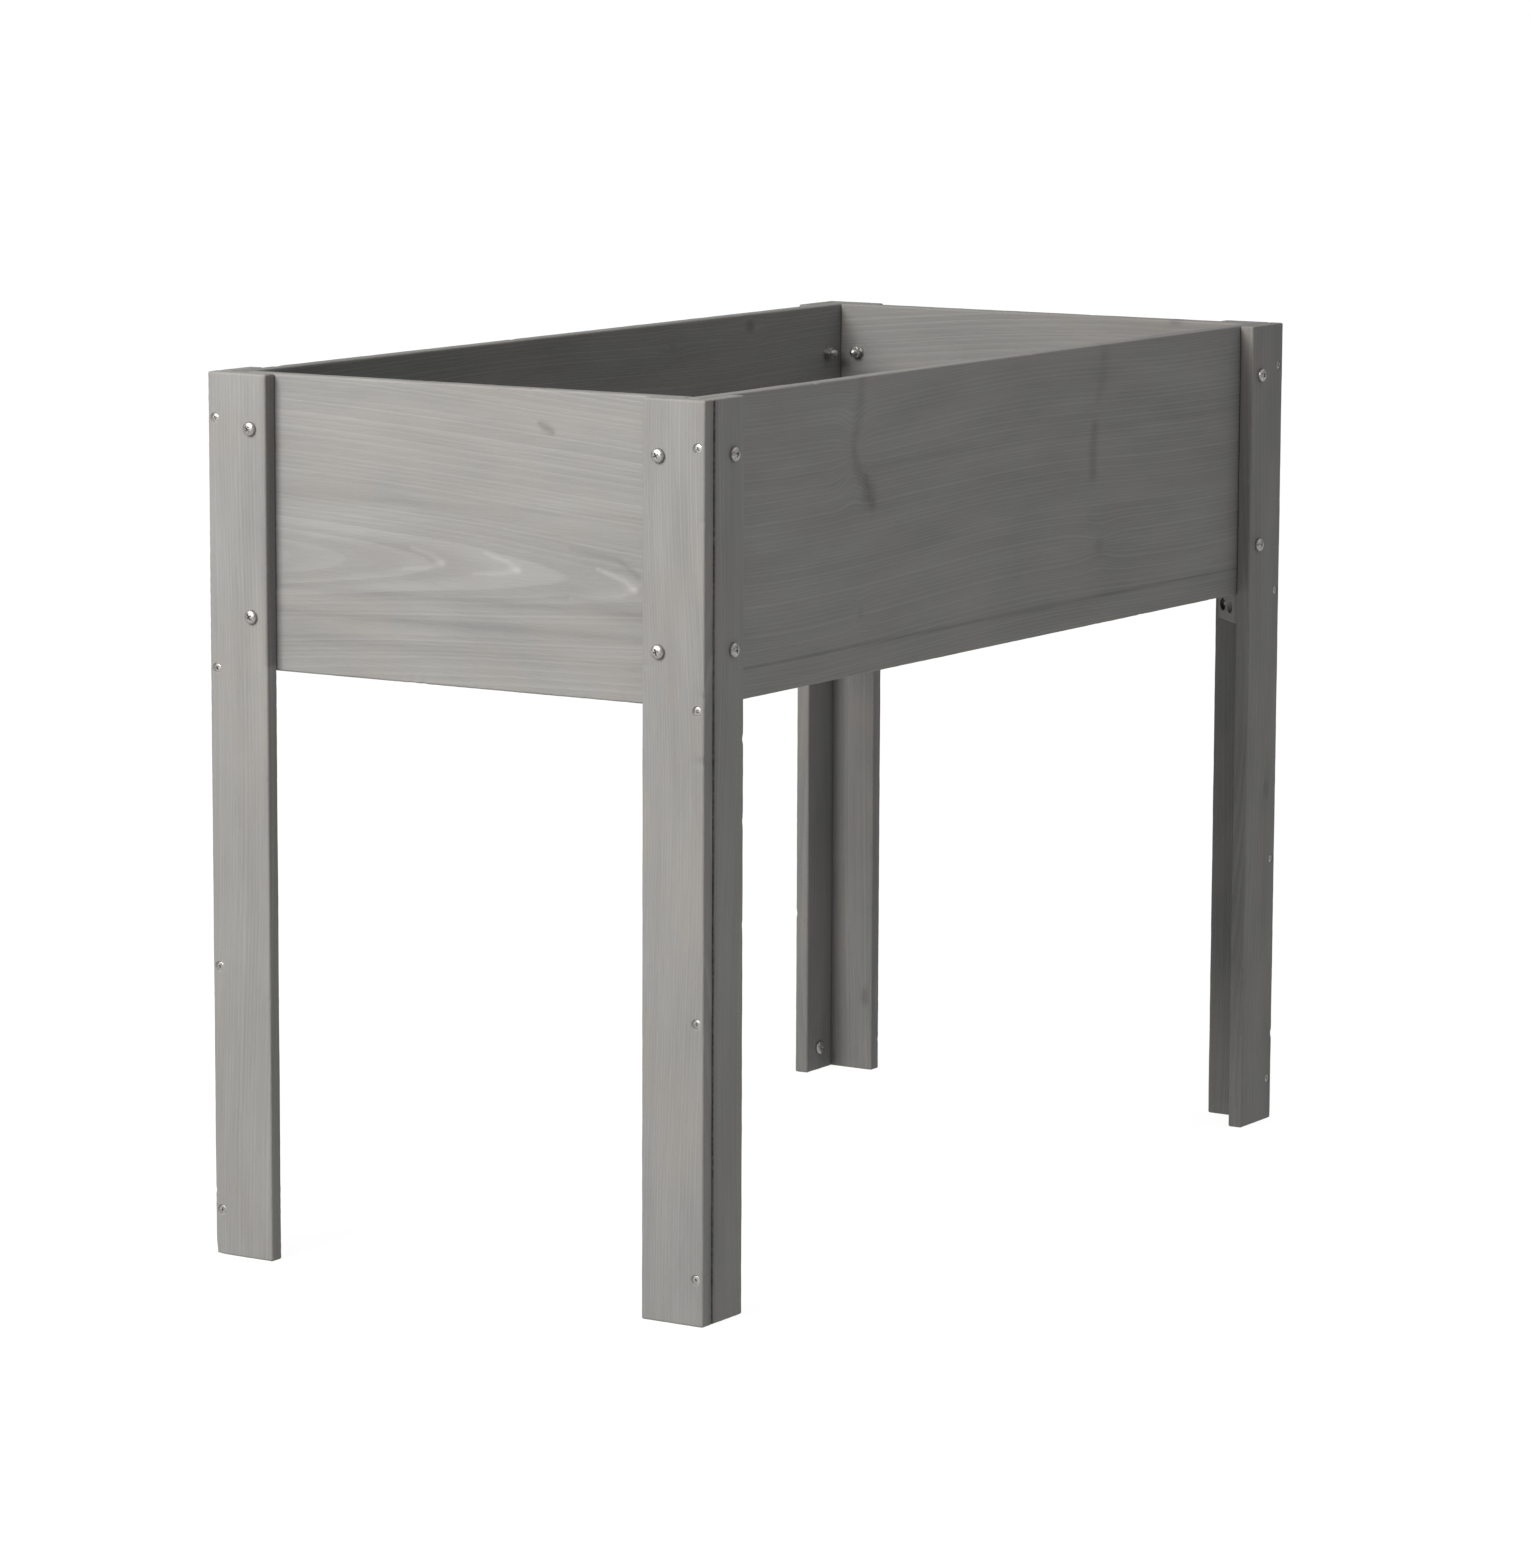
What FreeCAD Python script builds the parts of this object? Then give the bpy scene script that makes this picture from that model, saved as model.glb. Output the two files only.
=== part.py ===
"""Raised wooden planter on four legs, in millimetres.

The box is four panels bolted inside four L-shaped legs. Each leg is a wide board lapped over the edge of a
narrow one. Slats on two battens close the bottom. +Z is up, +X runs along the length, and the origin is on
the ground below the middle of the box.

A face of the planter has its own frame: seen from outside, u runs to the right from the face's left-hand
edge, v runs inwards from its outer surface, and z is the height. Boards and fasteners are made in that frame
and placed by turning it onto the front, right, rear or left face.
"""
import FreeCAD, Part
import os
import Sketcher

DIMENSIONS = {
    # whole object
    "planter_length": 1000,
    "planter_width": 494,
    "planter_height": 755,
    # boards
    "board_thick": 14,
    "wide_board": 60,
    "narrow_board": 46,
    "panel_height": 250,
    "edge_round": 1.8,
    # corner blocks below the panels
    "block_leg": 40,
    "block_height": 28,
    "block_tip": 5,
    "block_hole_near": 10,
    "block_seat": 5,
    "block_round": 1.2,
    # floor
    "batten_side": 20,
    "batten_gap": 2,
    "batten_screw_pitch": 200,
    "slat_width": 126,
    "slat_thick": 12,
    "slat_pitch": 134,
    "slat_end_gap": 1,
    "slat_round": 1.2,
    "slat_screw_inset": 10,
    "slat_screw_spread": 90,
    # panel bolts, washers and nuts
    "bolt_inset_wide": 44,
    "bolt_inset_narrow": 43,
    "bolt_inset_back_side": 53,
    "bolt_inset_back_end": 48,
    "bolt_inset_edge": 46,
    "bolt_shank_dia": 6,
    "bolt_shank_length": 40,
    "bolt_head_dia": 12,
    "bolt_head_height": 4.2,
    "bolt_hole_dia": 6.6,
    "washer_dia": 12,
    "washer_hole_dia": 6.4,
    "washer_thick": 1.6,
    "nut_across_flats": 10,
    "nut_height": 5,
    "nut_hole_dia": 6.1,
    "nut_corner_cut": 0.8,
    "nut_corner_slope": 1.2,
    # screws that join the two boards of a leg
    "leg_screw_shank_dia": 4,
    "leg_screw_shank_length": 40,
    "leg_screw_head_dia": 7.6,
    "leg_screw_head_height": 1.8,
    "leg_screw_sink": 0.9,
    "leg_screw_end_inset": 39,
    "leg_screw_mid_inset": 250,
    # screws of the corner blocks
    "block_screw_shank_dia": 4,
    "block_screw_shank_length": 16,
    "block_screw_head_dia": 8,
    "block_screw_head_height": 2.6,
    "block_screw_pocket_dia": 12,
    # single screw low in the back leg
    "foot_screw_shank_dia": 5,
    "foot_screw_shank_length": 10,
    "foot_screw_head_dia": 13,
    "foot_screw_head_height": 3,
    "foot_screw_inset": 37,
    "foot_screw_height": 22,
    # floor screws
    "floor_screw_shank_dia": 3.5,
    "floor_screw_shank_length": 25,
    "floor_screw_head_dia": 7,
    "floor_screw_head_height": 1.8,
    "batten_screw_shank_dia": 4,
    "batten_screw_shank_length": 30,
    "batten_screw_head_dia": 7.6,
    "batten_screw_head_height": 1.8,
    # all screws and bolts
    "tip_length": 5,
    "tip_share": 0.33,
    "pilot_clearance": 0.1,
    "pilot_extra_depth": 1,
    "recess_arm": 0.62,
    "recess_width": 0.17,
    "recess_depth": 0.5,
    "head_round": 0.55,
}

# Each face: the turn about Z that takes the front face to it, and its length.
FACES = {
    "front": {"turn": 0, "length": "planter_length"},
    "right": {"turn": 90, "length": "planter_width"},
    "rear": {"turn": 180, "length": "planter_length"},
    "left": {"turn": 270, "length": "planter_width"},
}

# Each leg: the face and hand of its end board and its side board, which of the two is the wide one, and the
# turn about Z of its corner block.
LEGS = {
    "front_left": {"end": ("left", "right_hand"), "side": ("front", "left_hand"), "wide": "end", "turn": 0},
    "front_right": {
        "end": ("right", "left_hand"),
        "side": ("front", "right_hand"),
        "wide": "side",
        "turn": 90,
    },
    "rear_right": {"end": ("right", "right_hand"), "side": ("rear", "left_hand"), "wide": "end", "turn": 180},
    "rear_left": {"end": ("left", "left_hand"), "side": ("rear", "right_hand"), "wide": "end", "turn": 270},
}

SLAT_COUNT = 7
BATTEN_SCREWS = (-2, -1, 0, 1, 2)
SMALLEST = 1e-6

doc = FreeCAD.newDocument("raised_planter")
nodes = []


def fill_sheet():
    """Put every driving dimension in the spreadsheet, one row each, with its name as alias."""
    sheet = doc.addObject("Spreadsheet::Sheet", "dims")
    for row, (name, value) in enumerate(DIMENSIONS.items(), start=1):
        sheet.set(f"A{row}", name)
        sheet.set(f"B{row}", str(value))
        sheet.setAlias(f"B{row}", name)
    doc.recompute()


def dim(name):
    """The expression that reads one dimension from the spreadsheet."""
    return f"dims.{name}"


def face_point(face, along, inwards="0"):
    """Expressions for the X and Y of a point in a face's own frame."""
    half_length = f"{dim('planter_length')} / 2"
    half_width = f"{dim('planter_width')} / 2"
    return {
        "front": (f"-{half_length} + ({along})", f"-{half_width} + ({inwards})"),
        "right": (f"{half_length} - ({inwards})", f"-{half_width} + ({along})"),
        "rear": (f"{half_length} - ({along})", f"{half_width} - ({inwards})"),
        "left": (f"-{half_length} + ({inwards})", f"{half_width} - ({along})"),
    }[face]


def place(piece, position, axis=(0, 0, 1), turn=0):
    """Turn a piece about an axis and bind its position to three expressions."""
    rotation = FreeCAD.Rotation(FreeCAD.Vector(*axis), turn)
    piece.Placement = FreeCAD.Placement(FreeCAD.Vector(0, 0, 0), rotation)
    for letter, expression in zip("xyz", position):
        piece.setExpression(f"Placement.Base.{letter}", expression)


def place_on_face(piece, face, along, inwards, height):
    """Place a piece that was made in the face's frame."""
    place(piece, (*face_point(face, along, inwards), height), turn=FACES[face]["turn"])


def new_body(label):
    """An empty body with the label that names its file."""
    body = doc.addObject("PartDesign::Body", label)
    body.Label = label
    return body


def new_sketch(body, role, name, offset="0"):
    """A sketch on one of the body's origin planes, moved along the plane's normal by an expression."""
    sketch = body.newObject("Sketcher::SketchObject", name)
    plane = [feature for feature in body.Origin.OriginFeatures if feature.Role == role][0]
    sketch.AttachmentSupport = [(plane, "")]
    sketch.MapMode = "FlatFace"
    sketch.setExpression("AttachmentOffset.Base.z", offset)
    return sketch


def pin_point(sketch, geometry, vertex, across, up):
    """Hold a sketch point at a place given by two expressions."""
    for kind, value, axis_line in (("DistanceX", across, -2), ("DistanceY", up, -1)):
        if value == "0":
            sketch.addConstraint(Sketcher.Constraint("PointOnObject", geometry, vertex, axis_line))
        else:
            index = sketch.addConstraint(Sketcher.Constraint(kind, -1, 1, geometry, vertex, 1.0))
            sketch.setExpression(f"Constraints[{index}]", value)


def draw_outline(sketch, corners):
    """A closed outline of straight lines, each corner held by two expressions."""
    rough = []
    for across, up in corners:
        rough.append(FreeCAD.Vector(evaluate(across), evaluate(up), 0))
    first = sketch.GeometryCount
    count = len(corners)
    for index in range(count):
        sketch.addGeometry(Part.LineSegment(rough[index], rough[(index + 1) % count]), False)
    for index in range(count):
        following = first + (index + 1) % count
        sketch.addConstraint(Sketcher.Constraint("Coincident", first + index, 2, following, 1))
        pin_point(sketch, first + index, 1, *corners[index])


def draw_circles(sketch, centres, diameter):
    """Circles of one diameter, each centre held by two expressions."""
    for across, up in centres:
        centre = FreeCAD.Vector(evaluate(across), evaluate(up), 0)
        circle = Part.Circle(centre, FreeCAD.Vector(0, 0, 1), evaluate(diameter) / 2)
        geometry = sketch.addGeometry(circle, False)
        pin_point(sketch, geometry, 3, across, up)
        size = sketch.addConstraint(Sketcher.Constraint("Diameter", geometry, evaluate(diameter)))
        sketch.setExpression(f"Constraints[{size}]", diameter)


def evaluate(expression):
    """The present value of an expression, for a sketch's first guess at its points."""
    value = doc.getObject("dims").evalExpression(expression)
    return float(getattr(value, "Value", value))


def pad(body, sketch, length):
    """Pad a sketch by an expression."""
    feature = body.newObject("PartDesign::Pad", "pad")
    feature.Profile = sketch
    feature.setExpression("Length", length)
    doc.recompute()
    return feature


def require_cut(before, feature):
    """A cut that points away from the solid removes nothing and raises nothing, so compare volumes."""
    if feature.Shape.Volume >= before - SMALLEST:
        raise RuntimeError(f"{feature.Label} of {feature.getParentGeoFeatureGroup().Label} cut nothing")


def pocket(body, sketch, depth=None, towards_normal=False):
    """Cut a sketch through the whole body, or to a depth, against or along the sketch's normal."""
    before = body.Shape.Volume
    feature = body.newObject("PartDesign::Pocket", "pocket")
    feature.Profile = sketch
    feature.Reversed = towards_normal
    if depth is None:
        feature.Type = "ThroughAll"
    else:
        feature.setExpression("Length", depth)
    doc.recompute()
    require_cut(before, feature)
    return feature


def countersunk_holes(body, sketch, screw, towards_normal=False, sink="0"):
    """Clearance holes through the whole body, with a countersink that lets one kind of screw sink in."""
    before = body.Shape.Volume
    feature = body.newObject("PartDesign::Hole", "hole")
    feature.Profile = sketch
    feature.Reversed = towards_normal
    doc.recompute()
    feature.ThreadType = "None"
    feature.DepthType = "ThroughAll"
    feature.HoleCutType = "Countersink"
    feature.HoleCutCustomValues = True
    feature.setExpression("Diameter", pilot_dia(screw))
    crater = f"2 * {sink} * {head_flare(screw)} / {dim(screw + '_head_height')}"
    head = f"{dim(screw + '_head_dia')} + {dim('pilot_clearance')}"
    feature.setExpression("HoleCutDiameter", f"{head} + {crater}")
    feature.setExpression("HoleCutCountersinkAngle", countersink_angle(screw))
    doc.recompute()
    require_cut(before, feature)
    return feature


def pilot_dia(screw):
    """Diameter of the hole around a screw's shank."""
    return f"{dim(screw + '_shank_dia')} + {dim('pilot_clearance')}"


def head_flare(screw):
    """How much wider a countersunk head is than its shank, on each side."""
    return f"({dim(screw + '_head_dia')} - {dim(screw + '_shank_dia')}) / 2"


def countersink_angle(screw):
    """Full angle of a countersunk head, from its diameters and its height."""
    return f"2 * atan({head_flare(screw)} / {dim(screw + '_head_height')})"


def round_edges(body, base, radius, names=None):
    """Round the named edges of a feature, or all of them."""
    feature = body.newObject("PartDesign::Fillet", "rounding")
    edges = names or [f"Edge{index + 1}" for index in range(len(base.Shape.Edges))]
    feature.Base = (base, edges)
    feature.setExpression("Radius", radius)
    doc.recompute()
    return feature


def board_body(label, width, thickness, height, radius):
    """A board with its width along X, its thickness along Y, its height along Z and softened edges."""
    body = new_body(label)
    outline = new_sketch(body, "XY_Plane", "outline")
    draw_outline(outline, [("0", "0"), (width, "0"), (width, thickness), ("0", thickness)])
    blank = pad(body, outline, height)
    round_edges(body, blank, radius)
    return body


def keep(piece):
    """Hand a finished piece in as a node."""
    nodes.append(piece)
    return piece


def bolt_heights(base="0"):
    """Heights of the two bolts of a leg board, above a base height, from the panel's two edges."""
    top = f"{dim('planter_height')} - {dim('bolt_inset_edge')} - ({base})"
    lower = f"{dim('planter_height')} - {dim('panel_height')} + {dim('bolt_inset_edge')} - ({base})"
    return (top, lower)


def leg_screw_heights():
    """Heights of the four screws that join the two boards of a leg."""
    heights = []
    for inset in ("leg_screw_end_inset", "leg_screw_mid_inset"):
        heights.append(dim(inset))
        heights.append(f"{dim('planter_height')} - {dim(inset)}")
    return heights


def from_corner(hand, width, inset):
    """Distance from a board's left edge to a feature measured from the leg's outer corner."""
    if hand == "left_hand":
        return inset
    return f"{width} - ({inset})"


def block_screw_height():
    """Height of the screws of the corner blocks."""
    return f"{dim('planter_height')} - {dim('panel_height')} - {dim('block_height')} / 2"


def block_hole_far():
    """Distance of a corner block's hole from the board that its screw doesn't enter."""
    return f"({dim('block_leg')} - {dim('block_hole_near')})"


def leg_board(leg, place_in_leg):
    """One board of a leg, with its bolt holes, its share of the leg screws and the block's pilot hole."""
    face, hand = LEGS[leg][place_in_leg]
    is_wide = LEGS[leg]["wide"] == place_in_leg
    thickness = dim("board_thick")
    width = dim("wide_board") if is_wide else dim("narrow_board")
    lap = "0" if is_wide else thickness
    body = board_body(f"{leg}_leg_{place_in_leg}_board", width, thickness, dim("planter_height"),
                      dim("edge_round"))

    bolts = new_sketch(body, "XZ_Plane", "bolt_holes")
    bolt_across = from_corner(hand, width, f"{bolt_inset(leg, place_in_leg)} - {lap}")
    draw_circles(bolts, [(bolt_across, height) for height in bolt_heights()], dim("bolt_hole_dia"))
    pocket(body, bolts)

    if is_wide:
        add_lapped_screw_holes(body, hand, width)
    else:
        add_edge_pilot_holes(body, hand)

    pilot = new_sketch(body, "XZ_Plane", "block_pilot", f"-{thickness}")
    pilot_across = from_corner(hand, width, f"{thickness} + {block_hole_far()} - {lap}")
    draw_circles(pilot, [(pilot_across, block_screw_height())], pilot_dia("block_screw"))
    depth = f"{dim('block_screw_shank_length')} - {dim('block_seat')} + {dim('pilot_extra_depth')}"
    pocket(body, pilot, depth, towards_normal=True)

    if (leg, place_in_leg) == ("rear_right", "side"):
        foot = new_sketch(body, "XZ_Plane", "foot_screw_pilot", f"-{thickness}")
        across = from_corner(hand, width, f"{dim('foot_screw_inset')} - {lap}")
        draw_circles(foot, [(across, dim("foot_screw_height"))], pilot_dia("foot_screw"))
        foot_depth = f"{dim('foot_screw_shank_length')} + {dim('pilot_extra_depth')}"
        pocket(body, foot, foot_depth, towards_normal=True)

    along = lap if hand == "left_hand" else f"{dim(FACES[face]['length'])} - {width} - {lap}"
    place_on_face(body, face, along, "0", "0")
    return keep(body)


def add_lapped_screw_holes(body, hand, width):
    """Countersunk holes through a wide board, over the middle of the narrow board's edge."""
    holes = new_sketch(body, "XZ_Plane", "leg_screw_holes")
    across = from_corner(hand, width, f"{dim('board_thick')} / 2")
    draw_circles(holes, [(across, height) for height in leg_screw_heights()], pilot_dia("leg_screw"))
    countersunk_holes(body, holes, "leg_screw", sink=dim("leg_screw_sink"))


def add_edge_pilot_holes(body, hand):
    """Pilot holes in the narrow board's edge that meets the wide board."""
    edge = "0" if hand == "left_hand" else dim("narrow_board")
    holes = new_sketch(body, "YZ_Plane", "leg_screw_pilots", edge)
    across = f"{dim('board_thick')} / 2"
    draw_circles(holes, [(across, height) for height in leg_screw_heights()], pilot_dia("leg_screw"))
    reach = f"{dim('leg_screw_shank_length')} + {dim('leg_screw_sink')} - {dim('board_thick')}"
    pocket(body, holes, f"{reach} + {dim('pilot_extra_depth')}", towards_normal=(hand == "left_hand"))


def bolt_inset(leg, place_in_leg):
    """Distance of a board's bolts from the leg's outer corner."""
    if leg == "rear_right":
        return dim(f"bolt_inset_back_{place_in_leg}")
    is_wide = LEGS[leg]["wide"] == place_in_leg
    return dim("bolt_inset_wide") if is_wide else dim("bolt_inset_narrow")


def panel(label, face, setback, batten_screws):
    """A panel that stands inside the leg boards, from one setback to the other along its face."""
    length = f"({dim(FACES[face]['length'])} - 2 * {setback})"
    body = board_body(label, length, dim("board_thick"), dim("panel_height"), dim("edge_round"))
    base = f"{dim('planter_height')} - {dim('panel_height')}"
    centres = []
    for leg, boards in LEGS.items():
        for place_in_leg in ("end", "side"):
            board_face, hand = boards[place_in_leg]
            if board_face != face:
                continue
            across = from_corner(hand, length, f"{bolt_inset(leg, place_in_leg)} - {setback}")
            centres += [(across, height) for height in bolt_heights(base)]
    holes = new_sketch(body, "XZ_Plane", "bolt_holes")
    draw_circles(holes, centres, dim("bolt_hole_dia"))
    pocket(body, holes)
    if batten_screws:
        pilots = new_sketch(body, "XZ_Plane", "batten_pilots", f"-{dim('board_thick')}")
        middle = f"{length} / 2"
        centres = [(f"{middle} + {step} * {dim('batten_screw_pitch')}", f"{dim('batten_side')} / 2")
                   for step in BATTEN_SCREWS]
        draw_circles(pilots, centres, pilot_dia("batten_screw"))
        depth = f"{dim('batten_screw_shank_length')} - {dim('batten_side')} + {dim('pilot_extra_depth')}"
        pocket(body, pilots, depth, towards_normal=True)
    place_on_face(body, face, setback, dim("board_thick"), base)
    return keep(body)


def corner_block(leg):
    """A three-sided block in the corner of a leg, with a pocketed screw hole towards each board."""
    body = new_body(f"{leg}_corner_block")
    long_side = dim("block_leg")
    tip = dim("block_tip")
    outline = new_sketch(body, "XY_Plane", "outline")
    corners = [("0", "0"), (long_side, "0"), (long_side, tip), (tip, long_side), ("0", long_side)]
    draw_outline(outline, corners)
    blank = pad(body, outline, dim("block_height"))
    round_edges(body, blank, dim("block_round"))
    middle = f"{dim('block_height')} / 2"
    far = block_hole_far()
    # The screw towards the end board runs along X, and the screw towards the side board along Y.
    for plane, centre, outwards in (("YZ_Plane", (far, middle), 1), ("XZ_Plane", (far, middle), -1)):
        shank = new_sketch(body, plane, "shank_hole")
        draw_circles(shank, [centre], pilot_dia("block_screw"))
        pocket(body, shank, towards_normal=(outwards == 1))
        seat = new_sketch(body, plane, "head_pocket", f"{outwards} * {dim('block_seat')}")
        draw_circles(seat, [centre], dim("block_screw_pocket_dia"))
        pocket(body, seat, towards_normal=(outwards == 1))
    position = corner_position(leg, dim("board_thick"))
    height = f"{dim('planter_height')} - {dim('panel_height')} - {dim('block_height')}"
    place(body, (*position, height), turn=LEGS[leg]["turn"])
    return keep(body)


def corner_position(leg, inset):
    """Expressions for the X and Y of a leg's corner, moved inwards both ways."""
    side = "-" if "left" in leg else ""
    depth = "-" if "front" in leg else ""
    across = f"{side}({dim('planter_length')} / 2 - {inset})"
    along = f"{depth}({dim('planter_width')} / 2 - {inset})"
    return (across, along)


def floor_batten(label, face):
    """A square batten along the bottom of a long panel, with countersunk screw holes from inside."""
    setback = f"(2 * {dim('board_thick')} + {dim('batten_gap')})"
    length = f"({dim('planter_length')} - 2 * {setback})"
    side = dim("batten_side")
    body = board_body(label, length, side, side, dim("slat_round"))
    holes = new_sketch(body, "XZ_Plane", "panel_screw_holes", f"-{side}")
    centres = [(f"{length} / 2 + {step} * {dim('batten_screw_pitch')}", f"{side} / 2")
               for step in BATTEN_SCREWS]
    draw_circles(holes, centres, pilot_dia("batten_screw"))
    countersunk_holes(body, holes, "batten_screw", towards_normal=True)
    pilots = new_sketch(body, "XY_Plane", "slat_screw_pilots", side)
    draw_circles(pilots, batten_pilot_centres(length), pilot_dia("floor_screw"))
    depth = f"{dim('floor_screw_shank_length')} - {dim('slat_thick')} + {dim('pilot_extra_depth')}"
    pocket(body, pilots, depth)
    inwards = f"2 * {dim('board_thick')}"
    base = f"{dim('planter_height')} - {dim('panel_height')}"
    place_on_face(body, face, setback, inwards, base)
    return keep(body)


def slat_steps():
    """Steps from the middle slat to each slat."""
    half = (SLAT_COUNT - 1) // 2
    return range(-half, half + 1)


def batten_pilot_centres(length):
    """Where the slats' screws enter a batten, seen from above in the batten's frame."""
    centres = []
    for step in slat_steps():
        for sign in ("-", "+"):
            across = f"{length} / 2 + {step} * {dim('slat_pitch')} {sign} {dim('slat_screw_spread')} / 2"
            centres.append((across, dim("slat_screw_inset")))
    return centres


def floor_slat(number, step):
    """A floor slat across the two battens, with two countersunk screws at each end."""
    span = f"({dim('planter_width')} - 4 * {dim('board_thick')} - 2 * {dim('slat_end_gap')})"
    width = dim("slat_width")
    thickness = dim("slat_thick")
    body = board_body(f"floor_slat_{number}", width, span, thickness, dim("slat_round"))
    holes = new_sketch(body, "XY_Plane", "screw_holes", thickness)
    inset = f"({dim('slat_screw_inset')} - {dim('slat_end_gap')})"
    centres = []
    for sign in ("-", "+"):
        across = f"{width} / 2 {sign} {dim('slat_screw_spread')} / 2"
        centres += [(across, inset), (across, f"{span} - {inset}")]
    draw_circles(holes, centres, pilot_dia("floor_screw"))
    countersunk_holes(body, holes, "floor_screw")
    base = f"{dim('planter_height')} - {dim('panel_height')} + {dim('batten_side')}"
    place(body, (f"{step} * {dim('slat_pitch')} - {width} / 2", f"-{span} / 2", base))
    return keep(body)


def add_cross_recess(body, screw, head_top):
    """A cross-shaped driving recess in a head whose top is at an expression along -Y."""
    arm = f"{dim(screw + '_head_dia')} / 2 * {dim('recess_arm')}"
    half_width = f"{dim(screw + '_head_dia')} / 2 * {dim('recess_width')}"
    quarter = [(arm, half_width), (half_width, half_width), (half_width, arm)]
    corners = list(quarter)
    corners += [(f"-({across})", up) for across, up in reversed(quarter)]
    corners += [(f"-({across})", f"-({up})") for across, up in quarter]
    corners += [(across, f"-({up})") for across, up in reversed(quarter)]
    sketch = new_sketch(body, "XZ_Plane", "recess", head_top)
    draw_outline(sketch, corners)
    pocket(body, sketch, f"{dim(screw + '_head_height')} * {dim('recess_depth')}")


def revolve_about_y(body, corners):
    """Turn an outline of radius against distance along Y into a solid."""
    sketch = new_sketch(body, "XY_Plane", "profile")
    draw_outline(sketch, corners)
    feature = body.newObject("PartDesign::Revolution", "revolution")
    feature.Profile = sketch
    feature.ReferenceAxis = (sketch, ["V_Axis"])
    feature.Angle = 360
    doc.recompute()
    return feature


def shank_corners(screw, shank_radius):
    """The outline's corners along a shank and its tapered tip, on the +Y side of the surface."""
    length = dim(screw + "_shank_length")
    taper = f"{length} - {dim('tip_length')}"
    return [(shank_radius, taper), (f"{shank_radius} * {dim('tip_share')}", length), ("0", length)]


def pan_head_screw(screw):
    """A screw along +Y whose round head stands on the surface at Y = 0."""
    body = new_body(f"{screw}_model")
    shank_radius = f"{dim(screw + '_shank_dia')} / 2"
    head_radius = f"{dim(screw + '_head_dia')} / 2"
    head_height = dim(screw + "_head_height")
    corners = [("0", f"-{head_height}"), (head_radius, f"-{head_height}"), (head_radius, "0"),
               (shank_radius, "0")]
    blank = revolve_about_y(body, corners + shank_corners(screw, shank_radius))
    rim = highest_rim(blank, evaluate(f"-{head_height}"))
    round_edges(body, blank, f"{head_height} * {dim('head_round')}", [rim])
    add_cross_recess(body, screw, head_height)
    return body


def highest_rim(feature, level):
    """Name of the circular edge around the top of a head."""
    for index, edge in enumerate(feature.Shape.Edges, start=1):
        box = edge.BoundBox
        is_flat = box.YLength < SMALLEST
        if is_flat and abs(box.YMin - level) < SMALLEST and len(edge.Vertexes) == 1:
            return f"Edge{index}"
    raise RuntimeError("no rim found")


def countersunk_screw(screw):
    """A screw along +Y whose cone-shaped head ends flush with the surface at Y = 0."""
    body = new_body(f"{screw}_model")
    shank_radius = f"{dim(screw + '_shank_dia')} / 2"
    head_radius = f"{dim(screw + '_head_dia')} / 2"
    head_height = dim(screw + "_head_height")
    corners = [("0", "0"), (head_radius, "0"), (shank_radius, head_height)]
    revolve_about_y(body, corners + shank_corners(screw, shank_radius))
    add_cross_recess(body, screw, "0")
    return body


def washer():
    """A flat ring around the Y axis, on the +Y side of the surface at Y = 0."""
    body = new_body("washer_model")
    inner = f"{dim('washer_hole_dia')} / 2"
    outer = f"{dim('washer_dia')} / 2"
    thick = dim("washer_thick")
    revolve_about_y(body, [(inner, "0"), (outer, "0"), (outer, thick), (inner, thick)])
    return body


def nut():
    """A six-sided nut around the Y axis, with its corners cut back at both faces."""
    body = new_body("nut_model")
    flat = f"{dim('nut_across_flats')} / 2"
    corner = f"{dim('nut_across_flats')} / sqrt(3)"
    half_side = f"{corner} / 2"
    height = dim("nut_height")
    outline = new_sketch(body, "XZ_Plane", "outline")
    corners = [(corner, "0"), (half_side, flat), (f"-{half_side}", flat), (f"-{corner}", "0"),
               (f"-{half_side}", f"-{flat}"), (half_side, f"-{flat}")]
    draw_outline(outline, corners)
    blank = body.newObject("PartDesign::Pad", "pad")
    blank.Profile = outline
    blank.Reversed = True
    blank.setExpression("Length", height)
    doc.recompute()
    bore = new_sketch(body, "XZ_Plane", "bore")
    draw_circles(bore, [("0", "0")], dim("nut_hole_dia"))
    pocket(body, bore)
    cut = dim("nut_corner_cut")
    drop = f"{cut} * {dim('nut_corner_slope')}"
    for level, slope in ((height, "-"), ("0", "+")):
        cutter = new_sketch(body, "XY_Plane", "corner_cut")
        outside = f"{corner} + {cut}"
        draw_outline(cutter, [(f"{corner} - {cut}", level), (outside, level),
                              (outside, f"{level} {slope} {drop}")])
        groove = body.newObject("PartDesign::Groove", "groove")
        groove.Profile = cutter
        groove.ReferenceAxis = (cutter, ["V_Axis"])
        before = body.Shape.Volume
        doc.recompute()
        require_cut(before, groove)
    return body


def group(label, model, places):
    """One node made of separate copies of a model, each put in place by a link."""
    links = []
    for number, (position, axis, turn) in enumerate(places, start=1):
        link = doc.addObject("App::Link", f"{label}_{number}")
        link.LinkedObject = model
        place(link, position, axis, turn)
        links.append(link)
    compound = doc.addObject("Part::Compound", label)
    compound.Label = label
    compound.Links = links
    doc.recompute()
    return keep(compound)


def on_face(face, along, inwards, height):
    """Place for a fastener that enters a face from outside."""
    return ((*face_point(face, along, inwards), height), (0, 0, 1), FACES[face]["turn"])


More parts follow.
